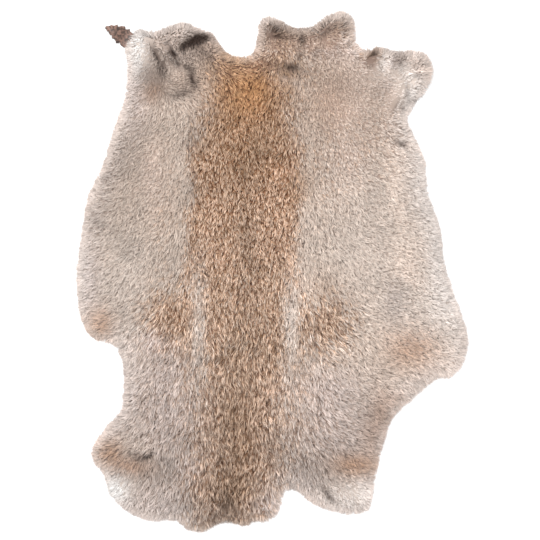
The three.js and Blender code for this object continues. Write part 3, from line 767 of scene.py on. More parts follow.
def rim_ring():
    """Points of the closed rim, evenly spaced. Between two knots the curve is a cubic with the
    tangents of a centripetal spline, whose knot spacing is the square root of the chord."""
    knots = np.array([point for stretch in RIM.values() for point in stretch], float)
    p0, p1, p2, p3 = (np.roll(knots, shift, axis=0) for shift in (1, 0, -1, -2))
    d01, d12, d23 = (np.sqrt(np.linalg.norm(b - a, axis=1))[:, None]
                     for a, b in ((p0, p1), (p1, p2), (p2, p3)))
    leave = ((p1 - p0) / d01 - (p2 - p0) / (d01 + d12) + (p2 - p1) / d12) * d12
    arrive = ((p2 - p1) / d12 - (p3 - p1) / (d12 + d23) + (p3 - p2) / d23) * d12
    t = np.linspace(0, 1, SPLINE_STEPS, endpoint=False)[None, :, None]
    start = (2 * t ** 3 - 3 * t ** 2 + 1) * p1[:, None] + (t ** 3 - 2 * t ** 2 + t) * leave[:, None]
    end = (3 * t ** 2 - 2 * t ** 3) * p2[:, None] + (t ** 3 - t ** 2) * arrive[:, None]
    fine = (start + end).reshape(-1, 2)
    closed = np.vstack([fine, fine[:1]])
    lengths = np.linalg.norm(np.diff(closed, axis=0), axis=1)
    travel = np.concatenate([[0], np.cumsum(lengths)])
    wanted = np.linspace(0, travel[-1], RIB_COUNT, endpoint=False)
    return np.stack([np.interp(wanted, travel, closed[:, axis]) for axis in (0, 1)], axis=1)


def relaxed(ring, passes):
    """A closed ring, each point moved half-way to the middle of its neighbours once a pass."""
    for _ in range(passes):
        ring = (np.roll(ring, 1, axis=0) + 2 * ring + np.roll(ring, -1, axis=0)) / 4
    return ring


def outwards_of(ring):
    """Directions out of a clockwise ring, square to the line between each point's neighbours."""
    along = np.roll(ring, -1, axis=0) - np.roll(ring, 1, axis=0)
    return unit(np.stack([-along[:, 1], along[:, 0]], axis=1))


def pelt_ribs(inset):
    """Ribs of the pelt from so many millimetres inside the rim to the hub: quadratic curves that leave
    the rim square to it. The hub is the rim with its points and notches relaxed away, drawn in."""
    rim = rim_ring()
    outwards = outwards_of(relaxed(rim, SQUARE_PASSES))
    ring = relaxed(rim, HUB_PASSES)
    middle = ring.mean(axis=0)
    start = rim - inset * outwards
    return Ribs(start, start - RIB_BEND * outwards, middle + HUB_SIZE * (ring - middle), middle, outwards)


def on_ribs(ribs, rib, step):
    """Places on the pelt. rib counts ribs around the rim; step runs from 0 at the rim to 1 at the hub
    on the rib's curve (1-t)^2 rim + 2t(1-t) bend + t^2 hub, and from 1 to 2 straight to the middle."""
    first = np.floor(rib).astype(int)
    share = (rib - first)[..., None]
    t = np.clip(step, 0, 1)[..., None]
    inner = np.clip(step - 1, 0, 1)[..., None]

    def between(ring):
        return (1 - share) * ring[first % RIB_COUNT] + share * ring[(first + 1) % RIB_COUNT]

    rim, hub = between(ribs.rim), between(ribs.hub)
    points = (1 - t) ** 2 * rim + 2 * t * (1 - t) * between(ribs.bend) + t ** 2 * hub
    points = points + inner * (ribs.middle - hub)
    return Place(points, np.linalg.norm(points - rim, axis=-1), unit(between(ribs.outwards)))


def measured(points, ribs):
    """Places with their depth inside the rim: the distance to the rim's line at its nearest point."""
    squares = (ribs.rim ** 2).sum(axis=1) - 2 * points @ ribs.rim.T
    nearest = squares.argmin(axis=1)
    outwards = ribs.outwards[nearest]
    return Place(points, ((ribs.rim[nearest] - points) * outwards).sum(axis=1), outwards)


def held_in(points, ribs, reach):
    """The same points, those further out than reach past the rim brought back to that line."""
    place = measured(points, ribs)
    over = np.maximum(-place.inset - reach, 0)
    return points - over[:, None] * place.outwards, np.maximum(place.inset, -reach)


def scattered(rng, count, least_depth):
    """Places scattered evenly over the pelt, at least so deep inside its rim: a grid of equal-sided
    triangles, each point moved freely inside its own cell, thinned to the wanted number."""
    ribs = pelt_ribs(0)
    inner = ribs.rim - least_depth * ribs.outwards
    after = np.roll(inner, -1, axis=0)
    area = abs((inner[:, 0] * after[:, 1] - inner[:, 1] * after[:, 0]).sum()) / 2
    pitch = math.sqrt(area / count / SPARE_PLACES / ROW_PITCH)
    low, high = inner.min(axis=0) - pitch, inner.max(axis=0) + pitch
    column, row = np.meshgrid(np.arange(low[0], high[0], pitch),
                              np.arange(low[1], high[1], ROW_PITCH * pitch))
    column = column + pitch / 2 * (np.arange(len(row)) % 2)[:, None]
    points = np.stack([column.ravel(), row.ravel()], axis=1)
    points = points + rng.uniform(-SCATTER, SCATTER, points.shape) * pitch
    place = measured(points, ribs)
    inside = rng.permutation(np.flatnonzero(place.inset > least_depth))[:count]
    return Place(place.points[inside], place.inset[inside], place.outwards[inside])


def band(points, start, end, half_width):
    """Bell across a band: 1 on the line from start to end, exp(-1) one half-width from it."""
    start, run = np.array(start, float), np.subtract(end, start).astype(float)
    offset = points - start
    along = np.clip(offset @ run / (run @ run), 0, 1)[..., None]
    return np.exp(-((offset - along * run) ** 2).sum(axis=-1) / half_width ** 2)


def flesh_height(points):
    """Height of the flesh side: the highest of the curls, each lift (1 - r^2)^2."""
    reach = np.stack([((points - np.array(curl.at)) ** 2).sum(axis=-1) / curl.radius ** 2
                      for curl in CURLS])
    lifts = np.array([curl.lift for curl in CURLS]).reshape((-1,) + (1,) * (reach.ndim - 1))
    return (lifts * np.clip(1 - reach, 0, 1) ** 2).max(axis=0)


def rim_round(inset):
    """Quarter round from 0 at the rim to 1 where the slope from the rim ends."""
    rise = np.clip((inset - SLAB_STOP) / RIM_SLOPE, 0, 1)
    return np.sqrt(1 - (1 - rise) ** 2)


def fur_height(points, inset):
    """Height of the fur's top above the floor: the flesh side, then a quarter round at the rim with
    folds and lumps, as the solid has."""
    folds = sum(fold.rise * band(points, fold.start, fold.end, fold.half_width) for fold in FOLDS)
    lumps = 0
    for lump in LUMPS:
        along = points @ (np.cos(lump.bearing), np.sin(lump.bearing))
        lumps = lumps + lump.rise * np.sin(2 * np.pi * along / lump.wave)
    loft = RIM_LOFT + (FUR_LOFT - RIM_LOFT + folds + lumps) * rim_round(inset)
    return flesh_height(points) + np.maximum(loft, RIM_LOFT)


def skin_height(points, inset):
    """Height of the skin's underside: the flesh side, raised in the folds that the skin makes too."""
    folds = sum(fold.skin * fold.rise * band(points, fold.start, fold.end, fold.half_width)
                for fold in FOLDS if fold.skin)
    return flesh_height(points) + folds * rim_round(inset)


def patch_weight(points, patch):
    """Bell of a patch: exp of minus the squared distance, in half-widths and half-lengths."""
    turn = math.radians(patch.bearing)
    offset = points - np.array(patch.at)
    across = offset @ (math.cos(turn), -math.sin(turn)) / patch.half_width
    along = offset @ (math.sin(turn), math.cos(turn)) / patch.half_length
    return patch.strength * np.exp(-across ** 2 - along ** 2)


def coat_at(points, inset):
    """Weights of the coat's tints at places: the ticked back between its two soft edges, fur that turns
    smoky and pale towards the rim and faint clouds of shade, with the patches of each tint added. A
    weight is cut off at 0, or for shade at its lightest, and at 1."""
    x, y = points[..., 0] + mottle(points, SADDLE_WANDER), points[..., 1]
    at, *edges = np.array(SADDLE, float).T
    left, right, soft = (np.interp(y, at, edge) for edge in edges)
    saddle = smooth_step(-1, 1, (x - left) / soft) * smooth_step(-1, 1, (right - x) / soft)
    saddle = saddle * (1 - smooth_step(*SADDLE_FADE, y))
    rim = np.exp(-(np.maximum(inset, 0) / RIM_TINT_REACH) ** 2) * (1 - RIM_SPARES_BACK * saddle)
    ground = {"ticked": saddle, "smoke": RIM_SMOKE * rim, "cream": RIM_CREAM * rim,
              "shade": mottle(points, CLOUDS)}
    weights = {}
    for tint, patches in PATCHES.items():
        weight = ground.get(tint, 0) + sum(patch_weight(points, patch) for patch in patches)
        weights[tint] = np.clip(weight, LIGHTEST if tint == "shade" else 0, 1)
    return weights


def speckled(weights, dice):
    """The same weights hair by hair: a hair is ticked where the ticked weight is over its dice."""
    ticked = weights["ticked"] - DICE_LEAST - DICE_RANGE * dice
    return {**weights, "ticked": smooth_step(-DICE_SOFT, DICE_SOFT, ticked)}


def fur_lie(points):
    """Angle at which the hair lies away from the rim, counted from the tail end towards +X: zero along
    the back line, a fan to both sides of it, swirls and an uneven drift."""
    x, y = points[..., 0], points[..., 1]
    side = (x - BACK_LINE[0] - BACK_LINE[1] * y) / FAN_WIDTH
    angle = np.where(side < 0, -FAN_LEFT, FAN_RIGHT) * smooth_step(*FAN_FROM, np.abs(side))
    for swirl in SWIRLS:
        offset = points - np.array(swirl.at)
        angle = angle + math.radians(swirl.turn) * np.exp(-(offset ** 2).sum(axis=-1) / swirl.radius ** 2)
    return angle + mottle(points, LIE_DRIFT)


def fur_flow(points, inset, outwards, pull=0.75):
    """Angle at which the hair lies, turned near the rim towards straight out by the share pull."""
    angle = fur_lie(points)
    out_angle = np.arctan2(outwards[..., 0], -outwards[..., 1])
    turn = np.mod(out_angle - angle + np.pi, 2 * np.pi) - np.pi
    return angle + pull * np.exp(-(inset / TURN_REACH) ** 2) * turn


def rim_against(place):
    """How near places are to a rim that faces against the lie of the hair: 1 at it, 0 inside."""
    against = -(heading(fur_lie(place.points)) * place.outwards).sum(axis=-1)
    return smooth_step(0.0, AGAINST_FULL, against) * np.exp(-(place.inset / AGAINST_REACH) ** 2)


def heading(angle):
    """Level directions for angles counted from the tail end towards +X."""
    return np.stack([np.sin(angle), -np.cos(angle)], axis=-1)


def raised(points, height):
    """Level points set at their heights."""
    return np.concatenate([points, height[..., None]], axis=-1)


def new_mesh(name, points, triangles, smooth):
    """A mesh object from an array of points in metres and an array of triangles, shaded smooth or flat."""
    mesh = bpy.data.meshes.new(name)
    mesh.vertices.add(len(points))
    mesh.vertices.foreach_set("co", np.ascontiguousarray(points, np.float32).ravel())
    mesh.loops.add(triangles.size)
    mesh.loops.foreach_set("vertex_index", np.ascontiguousarray(triangles, np.int32).ravel())
    mesh.polygons.add(len(triangles))
    mesh.polygons.foreach_set("loop_start", np.arange(0, triangles.size, 3, dtype=np.int32))
    mesh.polygons.foreach_set("use_smooth", np.full(len(triangles), smooth))
    mesh.update(calc_edges=True)
    piece = bpy.data.objects.new(name, mesh)
    bpy.context.scene.collection.objects.link(piece)
    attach(piece, "root")
    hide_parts("pelt")
    return piece


def add_attribute(piece, name, kind, values):
    """A value for each point of a piece, which its material reads by name."""
    attribute = piece.data.attributes.new(name, kind, "POINT")
    field = "vector" if kind == "FLOAT_VECTOR" else "value"
    attribute.data.foreach_set(field, np.ascontiguousarray(values, np.float32).ravel())


def spindle_points(root, middle, tip, half_width, turn):
    """Corners of spindles, five each: the root, three around the middle at the half-width, the tip."""
    axis = unit(tip - root)
    side = unit(np.cross(axis, (0.0, 0.0, 1.0)) + np.array((1e-6, 0.0, 0.0)))
    rise = np.cross(side, axis)
    angles = turn[:, None] + np.arange(3) * 2 * np.pi / 3
    ring = np.cos(angles)[..., None] * side[:, None] + np.sin(angles)[..., None] * rise[:, None]
    ring = middle[:, None] + half_width[:, None, None] * ring
    return np.concatenate([root[:, None], ring, tip[:, None]], axis=1)


# A spindle's triangles by its five corners, three triangles at the root and three at the tip, the places of
# their corners in a cell of the bake map, and how far along the hair its corners are.
SPINDLE = np.array(((1, 2, 0), (2, 3, 0), (3, 1, 0), (2, 1, 4), (3, 2, 4), (1, 3, 4)))
ROOT_CELL = ((0.1, 0.5), (0.9, 0.5), (0.5, 0.05))
TIP_CELL = ((0.9, 0.5), (0.1, 0.5), (0.5, 0.95))
SPINDLE_UV = np.array((ROOT_CELL,) * 3 + (TIP_CELL,) * 3)
SPINDLE_ALONG = np.array((0.0, 0.45, 0.45, 0.45, 1.0))
SPINDLE_CORNERS = len(SPINDLE_ALONG)


def add_coat(piece, along, tone, coat):
    """Gives each point of a piece of fur its share of the hair's length, its tone and its coat."""
    triples = {
        "hair": (along, tone, coat["shade"]),
        "coat": (coat["ticked"], coat["rust"], coat["cream"]),
        "cast": (coat["ginger"], coat["smoke"], np.zeros(len(tone))),
    }
    for name, values in triples.items():
        add_attribute(piece, name, "FLOAT_VECTOR", np.stack(values, axis=-1))


def add_hairs(name, root, middle, tip, width, turn, tone, coat, middle_shade, material):
    """One piece of fur from arrays of roots, middles and tips in millimetres. Each hair is a closed
    spindle of six triangles. Its points carry the share of its length, its tone and its coat, and
    its faces share one cell of the bake map, laid out as a diamond."""
    count = len(root)
    points = spindle_points(root, middle, tip, width / 2, turn) * MM
    triangles = SPINDLE + SPINDLE_CORNERS * np.arange(count)[:, None, None]
    piece = new_mesh(name, points.reshape(-1, 3), triangles.reshape(-1, 3), False)

    own_coat = {tint: np.repeat(weights, SPINDLE_CORNERS) for tint, weights in coat.items()}
    shades = [middle_shade] * (SPINDLE_CORNERS - 1) + [coat["shade"]]
    own_coat["shade"] = np.stack(shades, axis=1).ravel()
    add_coat(piece, np.tile(SPINDLE_ALONG, count), np.repeat(tone, SPINDLE_CORNERS), own_coat)

    columns = math.ceil(math.sqrt(2 * count))
    rows = math.ceil(count / columns)
    cell = np.stack(np.divmod(np.arange(count), columns)[::-1], axis=-1)
    corners = (cell[:, None, None] + SPINDLE_UV) / (columns, rows)
    layer = piece.data.uv_layers.new(name="OFBake")
    layer.data.foreach_set("uv", np.ascontiguousarray(corners, np.float32).ravel())
    piece.data.materials.append(material)
    return piece


def add_node(tree, kind, settings=None, **links):
    """A node with its settings and links. A key of settings that names or numbers an input sets its
    value, any other sets a property. A link's key is an input's name, with spaces as underscores, or i
    and its number, and its value is the output that it comes from."""
    node = tree.nodes.new(kind)
    for key, value in (settings or {}).items():
        if isinstance(key, int) or key in node.inputs:
            node.inputs[key].default_value = value
        else:
            setattr(node, key, value)
    for key, output in links.items():
        place = int(key[1:]) if key[0] == "i" and key[1:].isdigit() else key.replace("_", " ")
        tree.links.new(output, node.inputs[place])
    return node


def set_stops(node, stops):
    """Gives a colour ramp node its stops, pairs of position and linear colour."""
    ramp = node.color_ramp
    while len(ramp.elements) < len(stops):
        ramp.elements.new(1.0)
    for element, (position, colour) in zip(ramp.elements, stops):
        element.position = position
        element.color = (*colour, 1.0)


def fur_material(name, colours, tip_light):
    """Rabbit hair, combed: soft and dull, each hair slate or brown at its root, banded in the middle
    and pale or dark at its end, so that the eye sees fine ticking along the back and a soft bloom on
    the flanks. tip_light is how far the colour along the hair is followed towards its end."""
    material = bpy.data.materials.new(name)
    material.use_nodes = True
    tree = material.node_tree
    shader = tree.nodes["Principled BSDF"]
    hair, coat, cast = (
        add_node(tree, "ShaderNodeSeparateXYZ", Vector=add_node(
            tree, "ShaderNodeAttribute", {"attribute_name": attribute}).outputs["Vector"])
        for attribute in ("hair", "coat", "cast"))
    along = add_node(tree, "ShaderNodeMath", {"operation": "MULTIPLY", 1: tip_light}, i0=hair.outputs["X"])

    # Colours of each tint along the hair, from its root at 0 to its end at 1.
    stops = {
        "flank": ((0.0, colours.flank_root), (0.4, colours.flank_middle), (0.95, colours.flank_tip)),
        "pale": ((0.25, colours.back_root), (0.5, colours.back_band), (0.72, colours.back_tip)),
        "dark": ((0.25, colours.back_root), (0.52, colours.back_band), (0.8, colours.back_dark_tip)),
        "rust": ((0.1, colours.flank_root), (0.8, colours.rust_tip)),
        "nape": ((0.2, colours.back_root), (0.75, colours.ginger_tip)),
        "cream": ((0.0, colours.flank_middle), (0.4, colours.cream_tip)),
        "smoke": ((0.25, colours.flank_root), (0.9, colours.smoke_tip)),
    }
    tint = {}
    for key, tint_stops in stops.items():
        ramp = add_node(tree, "ShaderNodeValToRGB", Fac=along.outputs[0])
        set_stops(ramp, tint_stops)
        tint[key] = ramp.outputs[0]

    # A ticked hair is dark or pale by its tone, and smoke cools its end. Tints then lie over the flanks'.
    which = add_node(tree, "ShaderNodeMapRange", {"interpolation_type": "SMOOTHSTEP", 1: 0.15, 2: 0.45},
                     Value=hair.outputs["Y"])
    ticked = add_node(tree, "ShaderNodeMixRGB", None, Fac=which.outputs[0],
                      Color1=tint["dark"], Color2=tint["pale"])
    cool = add_node(tree, "ShaderNodeMath", {"operation": "MULTIPLY"},
                    i0=cast.outputs["Y"], i1=along.outputs[0])
    ticked = add_node(tree, "ShaderNodeMixRGB", None, Fac=cool.outputs[0],
                      Color1=ticked.outputs[0], Color2=tint["smoke"])
    colour = tint["flank"]
    layers = ((cast.outputs["Y"], tint["smoke"]), (coat.outputs["X"], ticked.outputs[0]),
              (coat.outputs["Y"], tint["rust"]), (cast.outputs["X"], tint["nape"]),
              (coat.outputs["Z"], tint["cream"]))
    for share, over in layers:
        colour = add_node(tree, "ShaderNodeMixRGB", None, Fac=share, Color1=colour, Color2=over).outputs[0]

    # Tone makes a hair darker or brighter. The shade weight paints light and shade into the colour: below 0
    # it is painted light that brightens the hair, and above 0 it is painted shade that mixes it towards the
    # shadowed brown.
    bright = add_node(tree, "ShaderNodeMapRange", {3: 0.74, 4: 1.22}, Value=hair.outputs["Y"])
    lift = add_node(tree, "ShaderNodeMapRange", {1: LIGHTEST, 2: 0.0, 3: 1.25, 4: 1.0},
                    Value=hair.outputs["Z"])
    value = add_node(tree, "ShaderNodeMath", {"operation": "MULTIPLY"},
                     i0=bright.outputs[0], i1=lift.outputs[0])
    lit = add_node(tree, "ShaderNodeHueSaturation", None, Color=colour, Value=value.outputs[0])
    # Painted shade: the hair's colour mixed towards the shadowed brown by its shade weight.
    finish = add_node(tree, "ShaderNodeMixRGB", {"Color2": (*colours.shadowed, 1)}, Fac=hair.outputs["Z"],
                      Color1=lit.outputs[0])
    tree.links.new(finish.outputs[0], shader.inputs["Base Color"])
    shader.inputs["Roughness"].default_value = 0.72
    shader.inputs["IOR"].default_value = 1.55
    shader.inputs["Specular IOR Level"].default_value = 0.25
    shader.inputs["Sheen Weight"].default_value = 0.05
    shader.inputs["Sheen Roughness"].default_value = 0.5
    return material


def suede_material(colours):
    """Tanned rabbit skin: dull cream suede with a fine nap and faint darker clouds on its flesh side,
    and dried brown leg skin, wrinkled and a little glossy, where the strip is bare."""
    material = bpy.data.materials.new("tanned suede")
    material.use_nodes = True
    tree = material.node_tree
    shader = tree.nodes["Principled BSDF"]
    place = add_node(tree, "ShaderNodeTexCoord")
    bare = add_node(tree, "ShaderNodeAttribute", {"attribute_name": "bare"})
    # Clouds about 40 mm wide, and a nap of 1.2 mm, drawn coarser than the real 0.2 mm so it shows.
    clouds = add_node(tree, "ShaderNodeTexNoise", {"Scale": 1 / (40 * MM), "Detail": 3.0},
                      Vector=place.outputs["Object"])
    nap = add_node(tree, "ShaderNodeTexNoise", {"Scale": 1 / (1.2 * MM), "Detail": 4.0},
                   Vector=place.outputs["Object"])
    tone = add_node(tree, "ShaderNodeMapRange", {1: 0.3, 2: 0.7, 3: 0.84, 4: 1.06}, Value=clouds.outputs[0])
    grain = add_node(tree, "ShaderNodeMapRange", {1: 0.3, 2: 0.7, 3: 0.9, 4: 1.08}, Value=nap.outputs[0])
    both = add_node(tree, "ShaderNodeMath", {"operation": "MULTIPLY"},
                    i0=tone.outputs[0], i1=grain.outputs[0])
    # Wrinkles 2.5 mm apart along the dried strip. Their noise also colours the leg skin, darker in the
    # troughs and lighter on the crests: partly its own mottling, partly painted shade and painted
    # highlight.
    wrinkles = add_node(tree, "ShaderNodeTexNoise",
                        {"Scale": 1 / (2.5 * MM), "Detail": 3.0, "Distortion": 0.6},
                        Vector=place.outputs["Object"])
    leg = add_node(tree, "ShaderNodeValToRGB", Fac=wrinkles.outputs[0])
    set_stops(leg, ((0.4, tuple(0.3 * part for part in colours.leg_skin)), (0.52, colours.leg_skin),
                    (0.66, tuple(1.7 * part for part in colours.leg_skin))))
    skin = add_node(tree, "ShaderNodeMixRGB", {"Color1": (*colours.suede, 1)}, Fac=bare.outputs["Fac"],
                    Color2=leg.outputs[0])
    finish = add_node(tree, "ShaderNodeHueSaturation", None, Color=skin.outputs[0], Value=both.outputs[0])
    rough = add_node(tree, "ShaderNodeMapRange", {3: 0.92, 4: 0.55}, Value=bare.outputs["Fac"])
    height = add_node(tree, "ShaderNodeMath", {"operation": "ADD"},
                      i0=nap.outputs[0], i1=wrinkles.outputs[0])
    bump = add_node(tree, "ShaderNodeBump", {"Strength": 0.6, "Distance": 0.0004}, Height=height.outputs[0])
    tree.links.new(finish.outputs[0], shader.inputs["Base Color"])
    tree.links.new(rough.outputs[0], shader.inputs["Roughness"])
    tree.links.new(bump.outputs[0], shader.inputs["Normal"])
    shader.inputs["Sheen Weight"].default_value = 0.1
    return material


def settings():
    """The sizes and colours on the scene."""
    scene = bpy.context.scene
    return scene.pelt_sizes, scene.pelt_colours


def fur_finish(name, tip_light=1.0):
    """The fur material of that name, made once."""
    found = bpy.data.materials.get(name)
    return found or fur_material(name, settings()[1], tip_light)


def rib_sheet(inset, lower, upper):
    """A closed sheet on the pelt's ribs from so many millimetres inside the rim: its corners, triangles
    and depths. lower and upper give the height of its two sides from places and depths."""
    ribs = pelt_ribs(inset)
    steps = np.concatenate([np.linspace(0, 1, SHEET_STEPS) ** SHEET_CROWDING,
                            np.linspace(1, 2, HUB_STEPS)[1:-1]])
    rib_grid, step_grid = np.meshgrid(np.arange(0.0, RIB_COUNT, RIBS_A_FACE), steps, indexing="xy")
    place = on_ribs(ribs, rib_grid, step_grid)
    count = rib_grid.shape[1]
    level = np.concatenate([place.points[::-1], place.points]).reshape(-1, 2)
    level = np.concatenate([level, [ribs.middle, ribs.middle]])
    depth = np.concatenate([place.inset[::-1], place.inset]).ravel() + inset
    depth = np.concatenate([depth, [RIM_SLOPE + inset] * 2])
    is_upper = np.concatenate([np.arange(len(depth) - 2) >= place.inset.size, [False, True]])
    height = np.where(is_upper, upper(level, depth), lower(level, depth))
    corner = np.arange(len(depth) - 2).reshape(-1, count)
    after = np.roll(corner, -1, axis=1)
    first = np.stack([corner[:-1], corner[1:], after[:-1]], axis=-1).reshape(-1, 3)
    second = np.stack([after[:-1], corner[1:], after[1:]], axis=-1).reshape(-1, 3)
    under_fan = np.stack([corner[0], after[0], np.full(count, len(depth) - 2)], axis=-1)
    upper_fan = np.stack([after[-1], corner[-1], np.full(count, len(depth) - 1)], axis=-1)
    return raised(level, height), np.concatenate([first, second, under_fan, upper_fan]), depth


class PELT_OT_skin(bpy.types.Operator):
    """Adds the tanned skin, a thin sheet on the pelt's ribs with the bare strip of leg skin"""
    bl_idname = "pelt.skin"
    bl_label = "Skin"

    def execute(self, context):
        sizes, colours = settings()
        thickness = sizes.skin_thickness / MM
        points, triangles, _ = rib_sheet(sizes.skin_inset / MM, skin_height,
                                         lambda level, depth: skin_height(level, depth) + thickness)
        strip, strip_triangles = strip_surface(thickness + STRIP_EXTRA)
        triangles = np.concatenate([triangles, strip_triangles + len(points)])
        bare = np.concatenate([np.zeros(len(points)), np.ones(len(strip))])
        piece = new_mesh("skin", np.concatenate([points, strip]) * MM, triangles, True)
        add_attribute(piece, "bare", "FLOAT", bare)
        piece.data.materials.append(suede_material(colours))
        return {"FINISHED"}


class PELT_OT_wool(bpy.types.Operator):
    """Adds the wool, the felted mat of the finest hair that closes the gaps between the others"""
    bl_idname = "pelt.wool"
    bl_label = "Wool"

    def execute(self, context):
        sizes, _ = settings()
        thickness = sizes.skin_thickness / MM

        def foot(level, depth):
            return skin_height(level, depth) + thickness

        def top(level, depth):
            swell = coat_at(level, depth)["soft"] * smooth_step(*WOOL_SWELL_DEPTH, depth)
            share = sizes.wool_share + WOOL_SWELL * swell
            return np.maximum(share * fur_height(level, depth), foot(level, depth) + WOOL_LEAST)

        points, triangles, depth = rib_sheet(sizes.skin_inset / MM, foot, top)
        piece = new_mesh("wool", points * MM, triangles, True)
        count = len(points)
        coat = coat_at(points[:, :2], depth)
        add_coat(piece, np.full(count, WOOL_ALONG), np.full(count, WOOL_TONE), coat)
        piece.data.materials.append(fur_finish("rabbit underfur", UNDERFUR_LIGHT))
        return {"FINISHED"}


def strip_surface(thickness):
    """The strip of leg skin: a flat oval section, half-width by half the thickness, carried along the
    strip's line. Both ends close in a point."""
    number = np.arange(len(STRIP))
    stations = np.linspace(0, len(STRIP) - 1, STRIP_STATIONS)
    x, y, half = (np.interp(stations, number, column) for column in np.array(STRIP, float).T)
    centre = np.stack([x, y], axis=1)
    along = unit(np.gradient(centre, axis=0))
    side = np.stack([-along[:, 1], along[:, 0]], axis=1)
    around = np.linspace(0, 2 * np.pi, STRIP_SIDES, endpoint=False)
    ripple = sum(ripple.share * np.sin(stations * ripple.pace) for ripple in STRIP_RIPPLES)
    offset = half[:, None] * np.cos(around) * (1 + ripple[:, None] * np.cos(around))
    level = centre[:, None] + offset[..., None] * side[:, None]
    thin = np.minimum(1, half / STRIP_SHRINKS_FROM)[:, None]
    height = flesh_height(level) + STRIP_LIFT + thickness / 2 * (1 + np.sin(around)) * thin
    rings = raised(level, height)
    ends = np.stack([rings[0].mean(axis=0), rings[-1].mean(axis=0)])
    corner = np.arange(rings[..., 0].size).reshape(rings.shape[:2])
    after = np.roll(corner, -1, axis=1)
    lower = np.stack([corner[:-1], corner[1:], after[:-1]], axis=-1).reshape(-1, 3)
    upper = np.stack([after[:-1], corner[1:], after[1:]], axis=-1).reshape(-1, 3)
    first = np.stack([corner[0], after[0], np.full(STRIP_SIDES, corner.size)], axis=-1)
    last = np.stack([after[-1], corner[-1], np.full(STRIP_SIDES, corner.size + 1)], axis=-1)
    return np.concatenate([rings.reshape(-1, 3), ends]), np.concatenate([lower, upper, first, last])


class PELT_OT_underfur(bpy.types.Operator):
    """Adds the underfur, short dark hair that fills the gaps between the tufts"""
    bl_idname = "pelt.underfur"
    bl_label = "Underfur"

    def execute(self, context):
        sizes, _ = settings()
        rng = np.random.default_rng(sizes.seed)
        place = scattered(rng, sizes.underfur_hairs, sizes.skin_inset / MM)
        root, depth = place.points, place.inset
        count = len(depth)
        lie = fur_flow(root, depth + UNDERFUR_DEEPER, place.outwards)
        flow = heading(lie + rng.normal(0, UNDERFUR_STRAY, count))
        run = rng.uniform(*UNDERFUR_RUN, count)
        tip = root + run[:, None] * flow
        tip_depth = np.maximum(depth - ((tip - root) * place.outwards).sum(axis=-1), 0)
        middle = root + UNDERFUR_MIDDLE * run[:, None] * flow
        root_height = skin_height(root, depth) + ROOT_LIFT
        tip_height = fur_height(tip, tip_depth) * rng.uniform(*UNDERFUR_TOP, count)
        tip_height = np.maximum(tip_height, root_height + UNDERFUR_LEAST)
        middle_height = root_height + UNDERFUR_BEND * (tip_height - root_height)
        add_hairs(
            "underfur",
            raised(root, root_height),
            raised(middle, middle_height),
            raised(tip, tip_height),
            sizes.underfur_width / MM * rng.uniform(*WIDTHS, count),
            rng.uniform(0, 2 * np.pi, count),
            rng.uniform(*UNDERFUR_TONE, count),
            coat_at(tip, tip_depth),
            coat_at(middle, depth)["shade"],
            fur_finish("rabbit underfur", UNDERFUR_LIGHT),
        )
        return {"FINISHED"}


def guard_tufts(rng, sizes):
    """Tufts of guard hair scattered over the pelt. A tuft leans the way the fur lies with a stray, its
    run is shortened where the coat is short, and its tone is a normal draw around a half."""
    place = scattered(rng, sizes.tufts, sizes.skin_inset / MM)
    count = len(place.inset)
    angle = fur_flow(place.points, place.inset, place.outwards) + rng.normal(0, TUFT_STRAY, count)
    coat = coat_at(place.points, place.inset)
    y = place.points[:, 1]
    ticked_tail = coat["ticked"] * smooth_step(*TICKED_TAIL_AT, y)
    soft = coat["soft"] * (1 - CREAM_STAYS_LONG * coat["cream"])
    short = (1 - SHORT_AT_RIM * rim_against(place)) * (1 - SHORT_WHERE_SOFT * soft)
    short = short * (1 + coat["ticked"] * (TICKED_LONGER - TICKED_FALL * smooth_step(*TICKED_FALL_AT, y)))
    run = sizes.hair_run / MM * rng.uniform(*TUFT_RUN, count) * short
    spread = (TONE_SPREAD - TONE_SOFT_LESS * coat["soft"] + TONE_TICKED_MORE * coat["ticked"]
              + TONE_TICKED_TAIL_MORE * ticked_tail + TONE_TAIL_MORE * smooth_step(*TAIL_AT, y))
    tone = np.clip(rng.normal(0.5, spread), 0, 1)
    height = np.clip(rng.normal(*TUFT_HEIGHT, count), *TUFT_HEIGHT_LIMITS)
    return Tufts(place, ticked_tail, angle, run, tone, height, rng.random(count))


